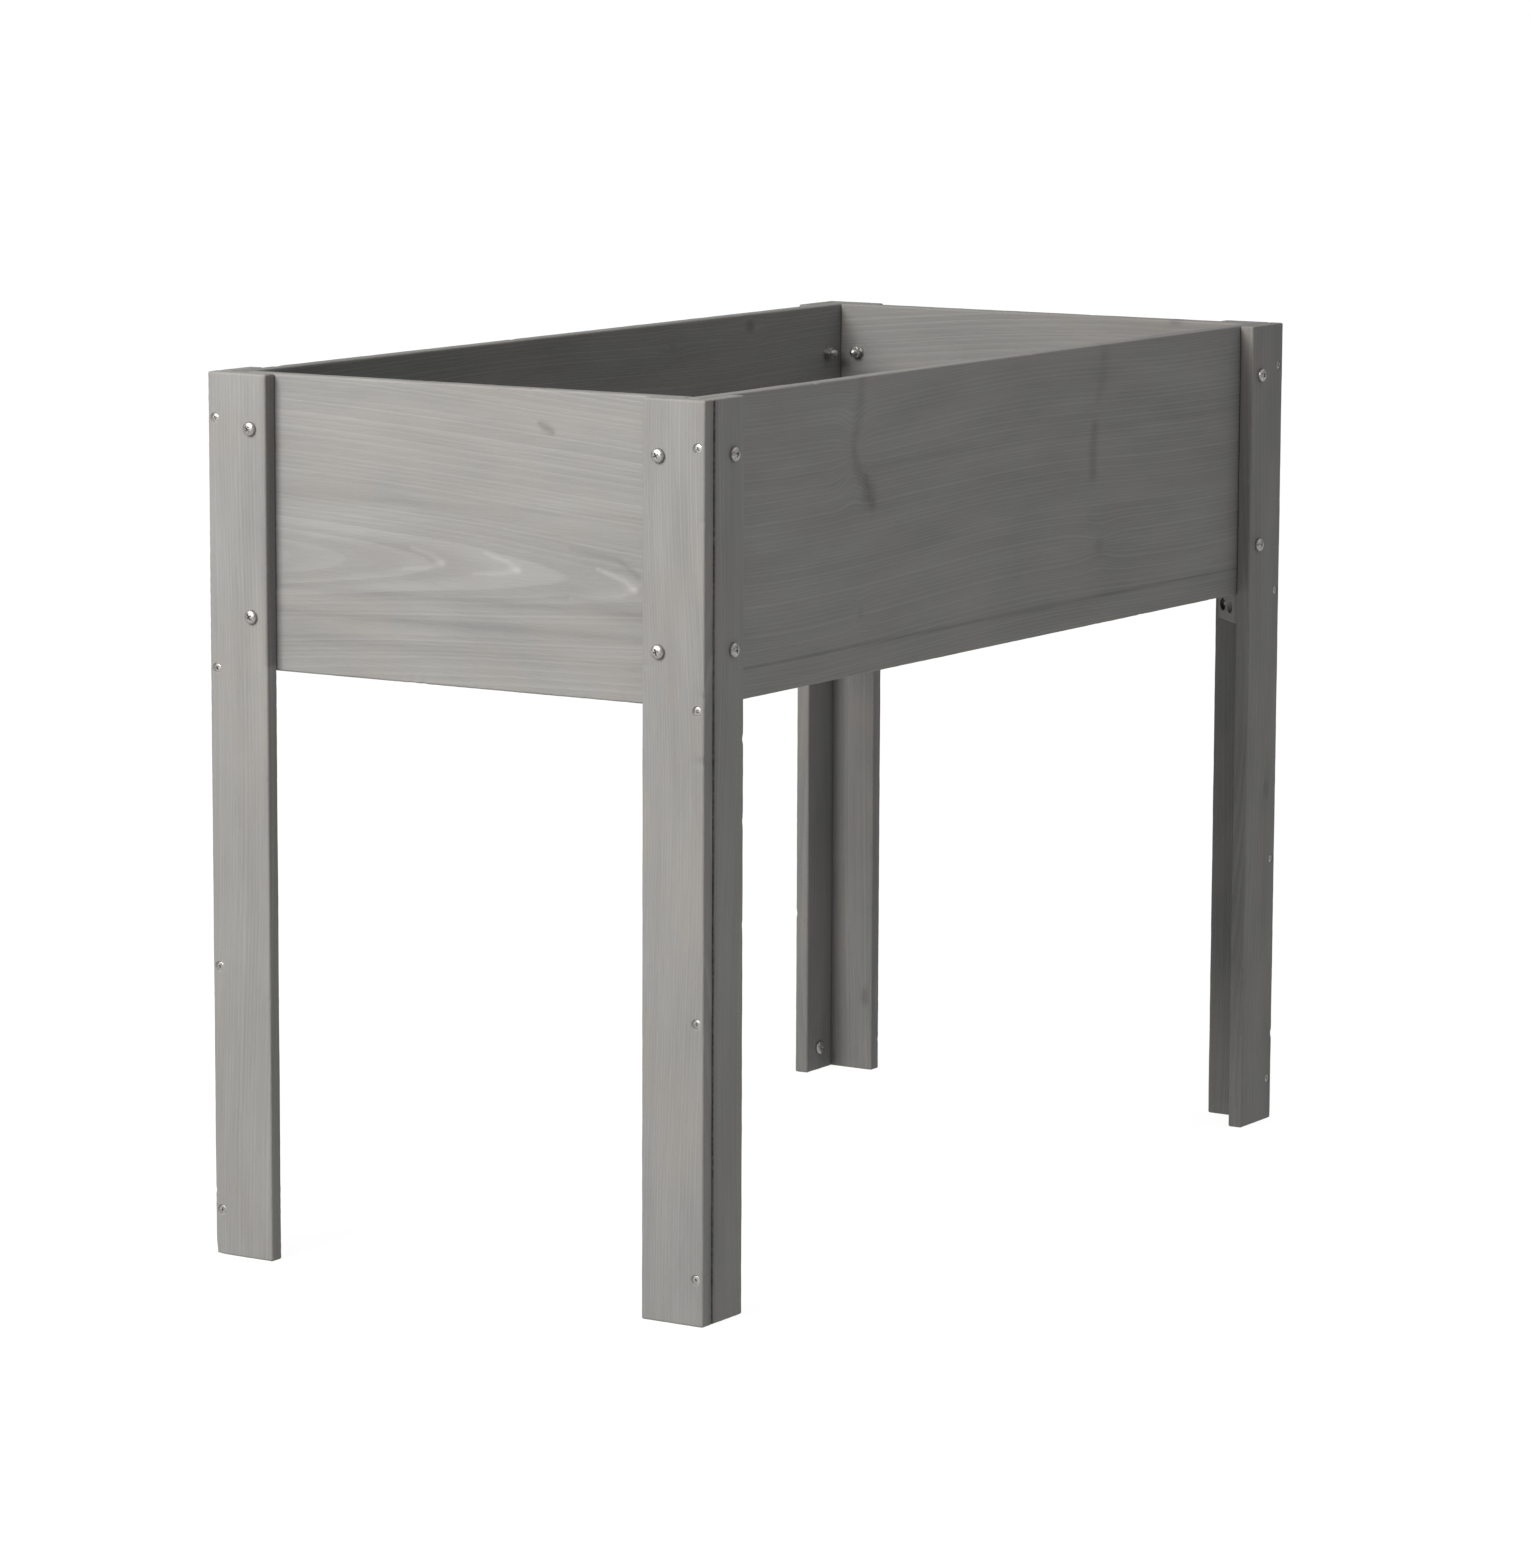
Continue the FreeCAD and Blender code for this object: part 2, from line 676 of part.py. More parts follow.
def bolt_places(leg, inwards):
    """Places of one leg's four bolts, or of what sits on them at a depth below the face."""
    places = []
    for place_in_leg in ("end", "side"):
        face, hand = LEGS[leg][place_in_leg]
        along = from_corner(hand, dim(FACES[face]["length"]), bolt_inset(leg, place_in_leg))
        places += [on_face(face, along, inwards, height) for height in bolt_heights()]
    return places


def leg_screw_places(leg):
    """Places of the four screws through a leg's wide board."""
    face, hand = LEGS[leg][LEGS[leg]["wide"]]
    along = from_corner(hand, dim(FACES[face]["length"]), f"{dim('board_thick')} / 2")
    return [on_face(face, along, dim("leg_screw_sink"), height) for height in leg_screw_heights()]


def block_screw_places(leg):
    """Places of the two screws that run outwards from a corner block into the leg boards."""
    inwards = f"{dim('board_thick')} + {dim('block_seat')}"
    far = f"{dim('board_thick')} + {block_hole_far()}"
    places = []
    for place_in_leg in ("end", "side"):
        face, hand = LEGS[leg][place_in_leg]
        along = from_corner(hand, dim(FACES[face]["length"]), far)
        position = (*face_point(face, along, inwards), block_screw_height())
        places.append((position, (0, 0, 1), FACES[face]["turn"] + 180))
    return places


def foot_screw_place():
    """Place of the single screw on the inner face of the back leg's side board."""
    face, hand = LEGS["rear_right"]["side"]
    along = from_corner(hand, dim(FACES[face]["length"]), dim("foot_screw_inset"))
    position = (*face_point(face, along, dim("board_thick")), dim("foot_screw_height"))
    return (position, (0, 0, 1), FACES[face]["turn"] + 180)


def batten_screw_places(face):
    """Places of the screws through a batten into its panel."""
    inwards = f"2 * {dim('board_thick')} + {dim('batten_side')}"
    height = f"{dim('planter_height')} - {dim('panel_height')} + {dim('batten_side')} / 2"
    places = []
    for step in BATTEN_SCREWS:
        along = f"{dim('planter_length')} / 2 + {step} * {dim('batten_screw_pitch')}"
        position = (*face_point(face, along, inwards), height)
        places.append((position, (0, 0, 1), FACES[face]["turn"] + 180))
    return places


def slat_screw_places(side):
    """Places of the screws down through the slats' ends, on one side of the planter."""
    level = (f"{dim('planter_height')} - {dim('panel_height')} + {dim('batten_side')}"
             f" + {dim('slat_thick')}")
    across = f"{side}({dim('planter_width')} / 2 - 2 * {dim('board_thick')} - {dim('slat_screw_inset')})"
    places = []
    for step in slat_steps():
        for sign in ("-", "+"):
            along = f"{step} * {dim('slat_pitch')} {sign} {dim('slat_screw_spread')} / 2"
            places.append(((along, across, level), (1, 0, 0), -90))
    return places


def build_wood():
    """Every wooden piece."""
    for leg in LEGS:
        for place_in_leg in ("end", "side"):
            leg_board(leg, place_in_leg)
        corner_block(leg)
    one_board = dim("board_thick")
    two_boards = f"(2 * {dim('board_thick')})"
    panel("front_panel", "front", one_board, True)
    panel("rear_panel", "rear", one_board, True)
    panel("left_end_panel", "left", two_boards, False)
    panel("right_end_panel", "right", two_boards, False)
    floor_batten("front_floor_batten", "front")
    floor_batten("rear_floor_batten", "rear")
    for number, step in enumerate(slat_steps(), start=1):
        floor_slat(number, step)


def build_fasteners():
    """Every metal piece, as one group per kind and place."""
    bolt_model = pan_head_screw("bolt")
    washer_model = washer()
    nut_model = nut()
    leg_screw_model = countersunk_screw("leg_screw")
    block_screw_model = pan_head_screw("block_screw")
    foot_screw_model = pan_head_screw("foot_screw")
    floor_screw_model = countersunk_screw("floor_screw")
    batten_screw_model = countersunk_screw("batten_screw")
    panel_inside = f"2 * {dim('board_thick')}"
    washer_top = f"{panel_inside} + {dim('washer_thick')}"
    for leg in LEGS:
        group(f"{leg}_panel_bolts", bolt_model, bolt_places(leg, "0"))
        group(f"{leg}_washers", washer_model, bolt_places(leg, panel_inside))
        group(f"{leg}_nuts", nut_model, bolt_places(leg, washer_top))
        group(f"{leg}_leg_screws", leg_screw_model, leg_screw_places(leg))
        group(f"{leg}_block_screws", block_screw_model, block_screw_places(leg))
    group("rear_right_foot_screw", foot_screw_model, [foot_screw_place()])
    for face, side in (("front", "-"), ("rear", "")):
        group(f"{face}_batten_screws", batten_screw_model, batten_screw_places(face))
        group(f"{face}_slat_screws", floor_screw_model, slat_screw_places(side))


def check_and_write():
    """Stop on any failed object or bad shape, then write one file per node."""
    doc.recompute()
    for item in doc.Objects:
        if "Invalid" in item.State or "Error" in item.State:
            raise RuntimeError(f"{item.Label} failed: {item.State}")
    for node in nodes:
        if node.Shape.isNull() or not node.Shape.isValid():
            raise RuntimeError(f"{node.Label} has a bad shape")
    os.makedirs("parts", exist_ok=True)
    for node in nodes:
        node.Shape.exportStep(f"parts/{node.Label}.step")
        print(node.Label, len(node.Shape.Solids), round(node.Shape.Volume, 1))


fill_sheet()
build_wood()
build_fasteners()
check_and_write()
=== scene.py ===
"""Looks of the raised planter on legs: stained boards, zinc fasteners, a pale studio and the camera.

Every board is a fine grid with softened edges, cut where bolts pass through it and where sunk screw heads
sit in it. Its grain is a solid figure: growth rings round a pith line, bent round knots, so that faces,
edges and ends agree. Lengths are in millimetres unless a comment says otherwise, and MM turns them into
metres.
"""
import math
import random

import bmesh
import bpy
import numpy as np
from mathutils import Matrix, Vector


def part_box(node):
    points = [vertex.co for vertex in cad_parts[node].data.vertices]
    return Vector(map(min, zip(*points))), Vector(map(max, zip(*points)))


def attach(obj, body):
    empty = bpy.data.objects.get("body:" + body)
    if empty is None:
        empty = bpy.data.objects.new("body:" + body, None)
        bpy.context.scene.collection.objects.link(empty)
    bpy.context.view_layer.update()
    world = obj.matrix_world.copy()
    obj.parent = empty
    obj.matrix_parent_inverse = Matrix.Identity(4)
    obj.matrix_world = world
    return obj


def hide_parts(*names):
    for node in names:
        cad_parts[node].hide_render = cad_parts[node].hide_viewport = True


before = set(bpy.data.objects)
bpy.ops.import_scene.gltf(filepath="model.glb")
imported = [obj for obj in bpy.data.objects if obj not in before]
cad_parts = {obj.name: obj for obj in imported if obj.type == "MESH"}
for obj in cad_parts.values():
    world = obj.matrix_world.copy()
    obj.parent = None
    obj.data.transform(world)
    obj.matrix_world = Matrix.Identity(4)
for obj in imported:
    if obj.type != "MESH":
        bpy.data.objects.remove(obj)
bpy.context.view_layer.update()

MM = 0.001
WELD = 0.002
SMOOTH_BELOW = math.radians(38)
LEGS = ("front_left", "front_right", "rear_right", "rear_left")
PANELS = ("front_panel", "rear_panel", "left_end_panel", "right_end_panel")
BATTENS = ("front_floor_batten", "rear_floor_batten")
SLAT_COUNT = 7
SLATS = tuple(f"floor_slat_{number}" for number in range(1, SLAT_COUNT + 1))
FIRST_BLOCK_NUMBER = 40

# Board grid
EDGE_ROUND = {"leg": 1.8, "panel": 1.8, "batten": 1.2, "slat": 1.2}
ARC_STEPS = 2
EDGE_SUPPORT = 0.6
SMALLEST_GAP = 0.7
GRID_ALONG = 9.0
GRID_ACROSS = 6.0
GRID_THROUGH = 5.0
NOTCH_STEP = 1.6
KNOT_STEP = 1.8
KNOT_REACH = 2.5
MARK_MARGIN_ALONG = 12
MARK_MARGIN_ACROSS = 8

# Wear of the surface, all of it inwards
WAVE_DEPTH = 0.12
WAVE_LENGTH = 90
EDGE_DEPTH = 0.3
EDGE_REACH = 2.2
EDGE_WAVE_LENGTH = 14
WAVES_CROSSING = 6
NOTCHES_PER_BOARD = 5
NOTCH_FROM_END = 20

# Fasteners. plain is the part of the shank below the head that has no thread.
BOLT_HOLE_DIA = 6.6
HOLE_CLEARANCE = 0.05
CUTTER_OVER = 4.0
CUTTER_LENGTH = 46.0
CUTTER_SIDES = 28
DOME_STEPS = 9
TIP_ROWS = 6
ROWS_PER_TURN = 4
HEAD_NEAR_FACE = 1.5
FASTENERS = {
    "bolt": {
        "head": 12, "height": 4.2, "side": 1.0, "shank": 6, "length": 40, "tip": 1.2, "pitch": 1.0,
        "groove": 0.5, "plain": 22, "cross": 6.2, "slot": 1.35, "deep": 2.4, "sunk": False, "around": 32,
    },
    "block_screw": {
        "head": 8, "height": 2.6, "side": 0.6, "shank": 4, "length": 16, "tip": 5, "pitch": 1.8,
        "groove": 0.5, "plain": 1, "cross": 4.2, "slot": 1.0, "deep": 1.6, "sunk": False, "around": 24,
    },
    "foot_screw": {
        "head": 13, "height": 3, "side": 0.7, "shank": 5, "length": 10, "tip": 4, "pitch": 1.8,
        "groove": 0.6, "plain": 1, "cross": 6.2, "slot": 1.3, "deep": 1.9, "sunk": False, "around": 32,
    },
    "leg_screw": {
        "head": 7.6, "height": 1.8, "side": 0, "shank": 4, "length": 40, "tip": 5, "pitch": 1.8,
        "groove": 0.5, "plain": 10, "cross": 4.2, "slot": 0.95, "deep": 1.4, "sunk": True, "around": 20,
    },
    "batten_screw": {
        "head": 7.6, "height": 1.8, "side": 0, "shank": 4, "length": 30, "tip": 5, "pitch": 1.8,
        "groove": 0.5, "plain": 8, "cross": 4.2, "slot": 0.95, "deep": 1.4, "sunk": True, "around": 20,
    },
    "floor_screw": {
        "head": 7, "height": 1.8, "side": 0, "shank": 3.5, "length": 25, "tip": 5, "pitch": 1.6,
        "groove": 0.45, "plain": 6, "cross": 3.9, "slot": 0.9, "deep": 1.3, "sunk": True, "around": 20,
    },
}

# How far each part of the wood's figure moves its tone, as a share of the step from dark to light stain
LATEWOOD_SHOWS = 0.26
FIBRE_SHOWS = 0.5
HAIR_SHOWS = 0.34
BLOTCH_SHOWS = 0.8
PORES_SHOW = -0.2
HUE_SHOWS = 0.24
# Painted shade along the joint of a leg's two boards, in the groove between them: how dark, and how far from
# the joint
JOINT_SHADE = 2.2
JOINT_REACH = 1.9
# How far in from a board's ends the end grain shows
END_REACH = 1.2
# The growth rings: the length of their sway and how far they wander, in millimetres, how strongly knots
# bend them, and how uneven they are
SWAY_LENGTH = 700
SLOW_WANDER = 6.0
QUICK_WANDER = 1.1
KNOT_BEND = 0.8
UNEVEN_RINGS = 2.2
# How quickly each part of the wood's figure changes, per millimetre along, across and down into a board
SLOW_RATE = (0.0035, 0.022, 0.022)
QUICK_RATE = (0.012, 0.10, 0.10)
FIBRE_RATE = (0.03, 0.9, 0.9)
HAIR_RATE = (0.10, 4.2, 4.2)
PORES_RATE = (0.07, 2.3, 2.3)
BLOTCH_RATE = (0.007, 0.035, 0.035)
CLOUD_RATE = (0.012, 0.02, 0.02)
SPECKLE_RATE = (0.25, 0.35, 0.35)
# The same for the scratches on zinc, along X, Y and Z
SCRATCH_RATE = (7.0, 1.1, 0.5)
# How far apart two boards are in the figure, in millimetres for each step of their seeds
SEED_SHIFT = (311.0, 173.0, 57.0)
# The most that end grain, rubbed edges and the bloom on zinc cover what is under them
END_SHOWS = 0.45
RUBBED_SHOWS = 0.42
BLOOM_SHOWS = 0.4
WOOD_ROUGHNESS = 0.62
ZINC_ROUGHNESS = 0.4
# Colours as they look on screen, from 0 to 255
DARK_STAIN = (104, 104, 103)
LIGHT_STAIN = (133, 133, 131)
WARM_STAIN = (129, 120, 114)
END_GRAIN = (126, 125, 121)
KNOT_AND_SHADE_COLOUR = (56, 54, 51)
RUBBED_WOOD = (127, 117, 103)
DULL_ZINC = (152, 151, 149)
BRIGHT_ZINC = (194, 192, 188)
ZINC_BLOOM = (166, 162, 153)
FLOOR_TONES = ((78, 78, 77), (82, 82, 82))

# Light, floor and camera, in metres, watts and degrees. The lens and its sensor are in millimetres.
FLOOR_REACH = 30
FLOOR_SEEN = 0.95
FLOOR_LIGHT = 0.62
SKY_BEHIND = 1.0
SKY_HORIZON = 0.08
SKY_ZENITH = 0.9
SKY_SIDE = 0.15
SKY_SIDE_WAY = (0.8, -0.6, 0.0)
LAMP_PLACE = (-3.3, 0.8, 2.4)
LAMP_TARGET = (0.0, 0.0, 0.45)
LAMP_SIDE = 1.8
LAMP_POWER = 205
LAMP_COLOUR = (1.0, 0.985, 0.96)
CAMERA_PLACE = (-4.5516, -2.8372, 1.1803)
CAMERA_YAW = 57.995
CAMERA_PITCH = -8.631
CAMERA_ROLL = 0.229
CAMERA_LENS = 140.05
CAMERA_SENSOR = 36
CAMERA_SEES = 200


def srgb(red, green, blue):
    """A colour given as it looks on screen, from 0 to 255, in the linear values that shaders take."""
    linear = []
    for value in (red, green, blue):
        share = value / 255
        linear.append(share / 12.92 if share <= 0.04045 else ((share + 0.055) / 1.055) ** 2.4)
    return (*linear, 1.0)


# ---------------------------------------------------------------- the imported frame


def box_of(node):
    """Lowest and highest corner of a CAD node, in millimetres."""
    low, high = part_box(node)
    return np.array(low) / MM, np.array(high) / MM


def solids_of(node):
    """Lowest and highest corner of each separate solid in a CAD node, in millimetres."""
    welded = bmesh.new()
    welded.from_mesh(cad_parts[node].data)
    bmesh.ops.remove_doubles(welded, verts=welded.verts, dist=WELD * MM)
    waiting = set(welded.verts)
    boxes = []
    for first in list(welded.verts):
        if first not in waiting:
            continue
        waiting.remove(first)
        reached = [first]
        for vert in reached:
            for edge in vert.link_edges:
                other = edge.other_vert(vert)
                if other in waiting:
                    waiting.remove(other)
                    reached.append(other)
        places = np.array([vert.co for vert in reached]) / MM
        boxes.append((places.min(axis=0), places.max(axis=0)))
    welded.free()
    return boxes


class Fastener:
    """Where one bolt or screw sits: the top of its head, and the direction from its tip to its head."""

    def __init__(self, kind, low, high, inwards):
        self.kind = kind
        self.axis = int(np.argmax(high - low))
        middle = (low + high) / 2
        away = 1.0 if middle[self.axis] > 0 else -1.0
        sign = -away if inwards else away
        self.direction = np.zeros(3)
        self.direction[self.axis] = sign
        self.head = middle.copy()
        self.head[self.axis] = high[self.axis] if sign > 0 else low[self.axis]

    def crosses(self, low, high):
        """True if the fastener's own line runs through a box."""
        across = [axis for axis in range(3) if axis != self.axis]
        return all(low[axis] < self.head[axis] < high[axis] for axis in across)


def find_fasteners():
    """{CAD node: its fasteners}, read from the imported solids."""
    found = {}
    for leg in LEGS:
        found[f"{leg}_panel_bolts"] = ("bolt", False)
        found[f"{leg}_leg_screws"] = ("leg_screw", False)
        found[f"{leg}_block_screws"] = ("block_screw", True)
    for side in ("front", "rear"):
        found[f"{side}_batten_screws"] = ("batten_screw", True)
        found[f"{side}_slat_screws"] = ("floor_screw", False)
    found["rear_right_foot_screw"] = ("foot_screw", True)
    placed = {}
    for node, (kind, inwards) in found.items():
        placed[node] = [Fastener(kind, low, high, inwards) for low, high in solids_of(node)]
    return placed


# ---------------------------------------------------------------- wood: what each board is like


def joint_line(node):
    """X and Y of the upright line outside a leg where its narrow board meets the wide one."""
    leg = node.split("_leg_")[0]
    boxes = [box_of(f"{leg}_leg_{place}_board") for place in ("end", "side")]
    low, high = min(boxes, key=lambda box: (box[1] - box[0])[:2].max())
    return np.where((low + high)[:2] > 0, high[:2], low[:2])


class Board:
    """One board: its box, its own directions, and what its grain and surface show.

    along runs with the grain from the board's low end, across runs over its width from its low edge, and
    depth runs inwards from its outer face.
    """

    def __init__(self, node, number, kind, **details):
        self.node = node
        self.kind = kind
        self.low, self.high = box_of(node)
        size = self.high - self.low
        self.along, self.across, self.through = np.argsort(-size, kind="stable")
        self.length, self.width, self.thickness = np.sort(size)[::-1]
        middle = (self.low + self.high) / 2
        self.outer_high = middle[self.through] > 0
        self.draw = random.Random(number)
        self.seed = number + self.draw.random()
        side = self.draw.choice((-1, 1))
        self.pith = details.get("pith", (side * self.draw.uniform(70, 150), self.draw.uniform(25, 70)))
        self.taper = details.get("taper", self.draw.uniform(-0.012, 0.012))
        self.spacing = details.get("spacing", self.draw.uniform(2.4, 3.6))
        self.drift = details.get("drift", self.draw.uniform(2, 6))
        self.tone = details.get("tone", self.draw.uniform(-0.06, 0.06))
        self.fade = details.get("fade", 0.0)
        self.knots = details.get("knots", ())
        self.spikes_and_shade_lines = details.get("spikes_and_shade_lines", ())
        self.streaks = details.get("streaks", ())
        self.marks = details.get("marks", ())
        self.notches = list(details.get("notches", ())) + self.random_notches()
        self.joint = joint_line(node) if kind == "leg" else None

    def random_notches(self):
        """Small knocks on the long edges of the outer face: (along, across, size, depth)."""
        found = []
        for _ in range(NOTCHES_PER_BOARD):
            edge = self.draw.choice((0.0, self.width))
            along = self.draw.uniform(NOTCH_FROM_END, self.length - NOTCH_FROM_END)
            found.append((along, edge, self.draw.uniform(1.5, 4.0), self.draw.uniform(0.3, 0.9)))
        return found

    def local(self, points):
        """(along, across, depth) of points given in the row frame."""
        along = points[:, self.along] - self.low[self.along]
        across = points[:, self.across] - self.low[self.across]
        if self.outer_high:
            depth = self.high[self.through] - points[:, self.through]
        else:
            depth = points[:, self.through] - self.low[self.through]
        return np.stack([along, across, depth], axis=1)


# A knot is (along, across, half length, half width, strength). A spike is a branch cut lengthwise, and on
# the rear left leg's end board a line of painted shade beside the left end panel: its line of (along,
# across, half width) and its strength. A streak is (across, half width, change of tone). A mark is a bent
# line of (along, across, half width) and its change of tone.
BOARD_DETAILS = {
    "left_end_panel": {
        "pith": (-28, 24),
        "taper": -0.06,
        "spacing": 5.0,
        "drift": 3,
        "tone": 0.08,
        "spikes_and_shade_lines": [([(140, 222, 2), (134, 219, 3.2), (127, 216, 2)], 0.4)],
        "streaks": [(72, 4, -0.3), (52, 3.5, -0.3), (30, 5, -0.2), (150, 3, -0.15)],
        "marks": [
            ([(48, 92, 3.2), (58, 99, 2.4), (84, 107, 1.4)], 0.5),
            ([(48, 92, 3.2), (62, 86, 2.4), (110, 82, 1.4)], 0.45),
            ([(162, 101, 3), (172, 107, 2.2), (194, 113, 1.4)], 0.4),
            ([(162, 101, 3), (178, 97, 2.2), (206, 95, 1.4)], 0.35),
            ([(237, 102, 3), (247, 108, 2.2), (268, 113, 1.4)], 0.35),
            ([(237, 102, 3), (250, 97, 2.2), (276, 95, 1.4)], 0.35),
            ([(44, 103, 2.5), (64, 116, 2.5), (110, 122, 2)], -0.3),
        ],
    },
    "front_panel": {
        "pith": (205, 25),
        "spacing": 3.2,
        "taper": 0.006,
        "tone": 0.0,
        # Painted light falloff: the front panel darkens towards its right end, away from the lamp
        "fade": -0.3,
        "knots": [(237, 188, 5, 12, 0.08), (661, 71, 8, 7, 0.22), (250, 52, 4, 5, 0.15)],
        "spikes_and_shade_lines": [
            ([(250, 246, 6), (246, 218, 7), (238, 196, 5)], 0.2),
            ([(238, 190, 4), (243, 176, 6), (252, 164, 6)], 0.26),
            ([(256, 164, 6), (263, 151, 10), (268, 143, 6)], 0.42),
            ([(668, 246, 8), (665, 222, 8), (656, 202, 5)], 0.16),
            ([(651, 178, 6), (648, 158, 7), (648, 136, 6)], 0.3),
        ],
        "streaks": [(25, 1.6, -0.5), (10, 12, -0.1), (175, 3, -0.12)],
    },
    "rear_panel": {
        "pith": (-190, 40),
        "tone": -0.1,
        "fade": 0.6,
        "spacing": 3.4,
        "knots": [
            (794, 238, 7, 5, 0.45),
            (659, 229, 6, 4, 0.15),
            (300, 120, 12, 10, 0.7),
            (520, 60, 8, 6, 0.6),
        ],
    },
    "right_end_panel": {
        "pith": (40, 42),
        "taper": 0.04,
        "spacing": 4.4,
        "knots": [(71, 248, 7, 3, 0.35), (300, 90, 10, 8, 0.6)],
    },
    "front_left_leg_end_board": {
        "pith": (95, 30),
        "spacing": 2.6,
        "tone": -0.02,
        "notches": [(464, 0, 4, 1.2)],
    },
    "front_left_leg_side_board": {"pith": (-80, 60), "spacing": 2.4, "tone": 0.02},
    "rear_left_leg_end_board": {
        "pith": (-70, 45),
        "spacing": 2.8,
        "tone": 0.06,
        "notches": [(3, 60, 6, 1.0)],
        # Painted shade, drawn as a dark line: this board's front-facing edge beside the left end panel
        "spikes_and_shade_lines": [([(512, 0, 2.2), (600, 0, 2.6), (752, 0, 2.2)], 0.36)],
    },
    # Painted shade: the right legs' boards get darker tones because they stand in the box's shadow, away
    # from the lamp
    "rear_right_leg_end_board": {"tone": -0.3, "knots": [(73, 8, 9, 4, 0.35)]},
    "rear_right_leg_side_board": {"tone": -0.3, "knots": [(420, 20, 12, 6, 0.6)]},
    "front_right_leg_side_board": {"tone": -0.35, "knots": [(318, 40, 8, 5, 0.3)]},
    "front_right_leg_end_board": {"tone": -0.4},
}


def all_boards():
    """Every board with square ends."""
    kinds = [(f"{leg}_leg_{place}_board", "leg") for leg in LEGS for place in ("end", "side")]
    kinds += [(node, "panel") for node in PANELS]
    kinds += [(node, "batten") for node in BATTENS]
    kinds += [(node, "slat") for node in SLATS]
    return [Board(node, number, kind, **BOARD_DETAILS.get(node, {}))
            for number, (node, kind) in enumerate(kinds, start=1)]


# ---------------------------------------------------------------- wood: meshes


def grid_lines(length, rounding, step, near):
    """Where grid lines cross one side of a board: close over its rounded edges and near its details."""
    edge = [rounding * (1 - math.tan(math.pi / 4 * turn / ARC_STEPS)) for turn in range(ARC_STEPS, -1, -1)]
    inner_start = rounding + EDGE_SUPPORT
    count = max(1, round((length - 2 * inner_start) / step))
    wanted = list(np.linspace(inner_start, length - inner_start, count + 1))
    for centre, reach, spacing in near:
        wanted += list(np.arange(centre - reach, centre + reach + spacing, spacing))
    kept = [inner_start]
    for place in sorted(wanted):
        if kept[-1] + SMALLEST_GAP <= place <= length - inner_start - SMALLEST_GAP:
            kept.append(place)
    kept.append(length - inner_start)
    return np.array(edge + kept + [length - place for place in reversed(edge)])


def detail_lines(board):
    """(centre, reach, spacing) of the finer grid that a board's details need, along it and across it."""
    along, across = [], []
    for place, side, size, _ in board.notches:
        along.append((place, 2 * size, NOTCH_STEP))
    for place, side, half_length, half_width, _ in board.knots:
        along.append((place, KNOT_REACH * half_length, KNOT_STEP))
        across.append((side, KNOT_REACH * half_width, KNOT_STEP))
    for line, _ in (*board.spikes_and_shade_lines, *board.marks):
        places, sides, _ = (np.array(values) for values in zip(*line))
        along.append((places.mean(), np.ptp(places) / 2 + MARK_MARGIN_ALONG, KNOT_STEP))
        across.append((sides.mean(), np.ptp(sides) / 2 + MARK_MARGIN_ACROSS, 2 * KNOT_STEP))
    for side, half_width, _ in board.streaks:
        across.append((side, 3 * half_width, max(half_width, NOTCH_STEP)))
    return along, across


def rounded_grid(low, high, rounding, lines):
    """Points, outward normals and quads over a box with rounded edges, where the given grid lines cross."""
    shape = tuple(len(line) for line in lines)
    last = np.array(shape) - 1
    cells = np.indices(shape).reshape(3, -1).T
    cells = cells[((cells == 0) | (cells == last)).any(axis=1)]
    number = np.full(shape, -1)
    number[tuple(cells.T)] = np.arange(len(cells))
    points = low + np.stack([lines[axis][cells[:, axis]] for axis in range(3)], axis=1)
    inner = np.clip(points, low + rounding, high - rounding)
    normals = points - inner
    normals /= np.linalg.norm(normals, axis=1, keepdims=True)
    quads = []
    for axis in range(3):
        order = (axis, (axis + 1) % 3, (axis + 2) % 3)
        for side in (0, last[axis]):
            sheet = np.moveaxis(number, order, (0, 1, 2))[side]
            ring = [sheet[:-1, :-1], sheet[1:, :-1], sheet[1:, 1:], sheet[:-1, 1:]]
            if side == 0:
                ring.reverse()
            quads.append(np.stack(ring, axis=-1).reshape(-1, 4))
    return inner + normals * rounding, normals, np.concatenate(quads)


def slow_wave(points, draw, length):
    """A smooth value from 0 to 1 over space, made of a few crossing waves about length apart."""
    total = np.zeros(len(points))
    for _ in range(WAVES_CROSSING):
        pull = np.array([draw.gauss(0, 1) for _ in range(3)]) * 2 * math.pi / length
        total += np.sin(points @ pull + draw.uniform(0, 2 * math.pi))
    return 0.5 + 0.5 * np.tanh(total / 2.5)


def edge_distance(board, local):
    """Distance of surface points from the board's nearest edge."""
    size = np.array([board.length, board.width, board.thickness])
    to_sides = np.minimum(local, size - local)
    return np.maximum(np.sort(to_sides, axis=1)[:, 1], 0)


def worn_depth(board, local, points):
    """How far each point of a board's surface has worn back."""
    depth = WAVE_DEPTH * slow_wave(points, board.draw, WAVE_LENGTH)
    near_edge = np.exp(-edge_distance(board, local) / EDGE_REACH)
    depth += EDGE_DEPTH * near_edge * slow_wave(points, board.draw, EDGE_WAVE_LENGTH)
    for along, across, size, deepest in board.notches:
        gap = np.stack([local[:, 0] - along, local[:, 1] - across, local[:, 2]], axis=1)
        depth += deepest * np.exp(-(np.linalg.norm(gap, axis=1) / size) ** 2)
    return depth


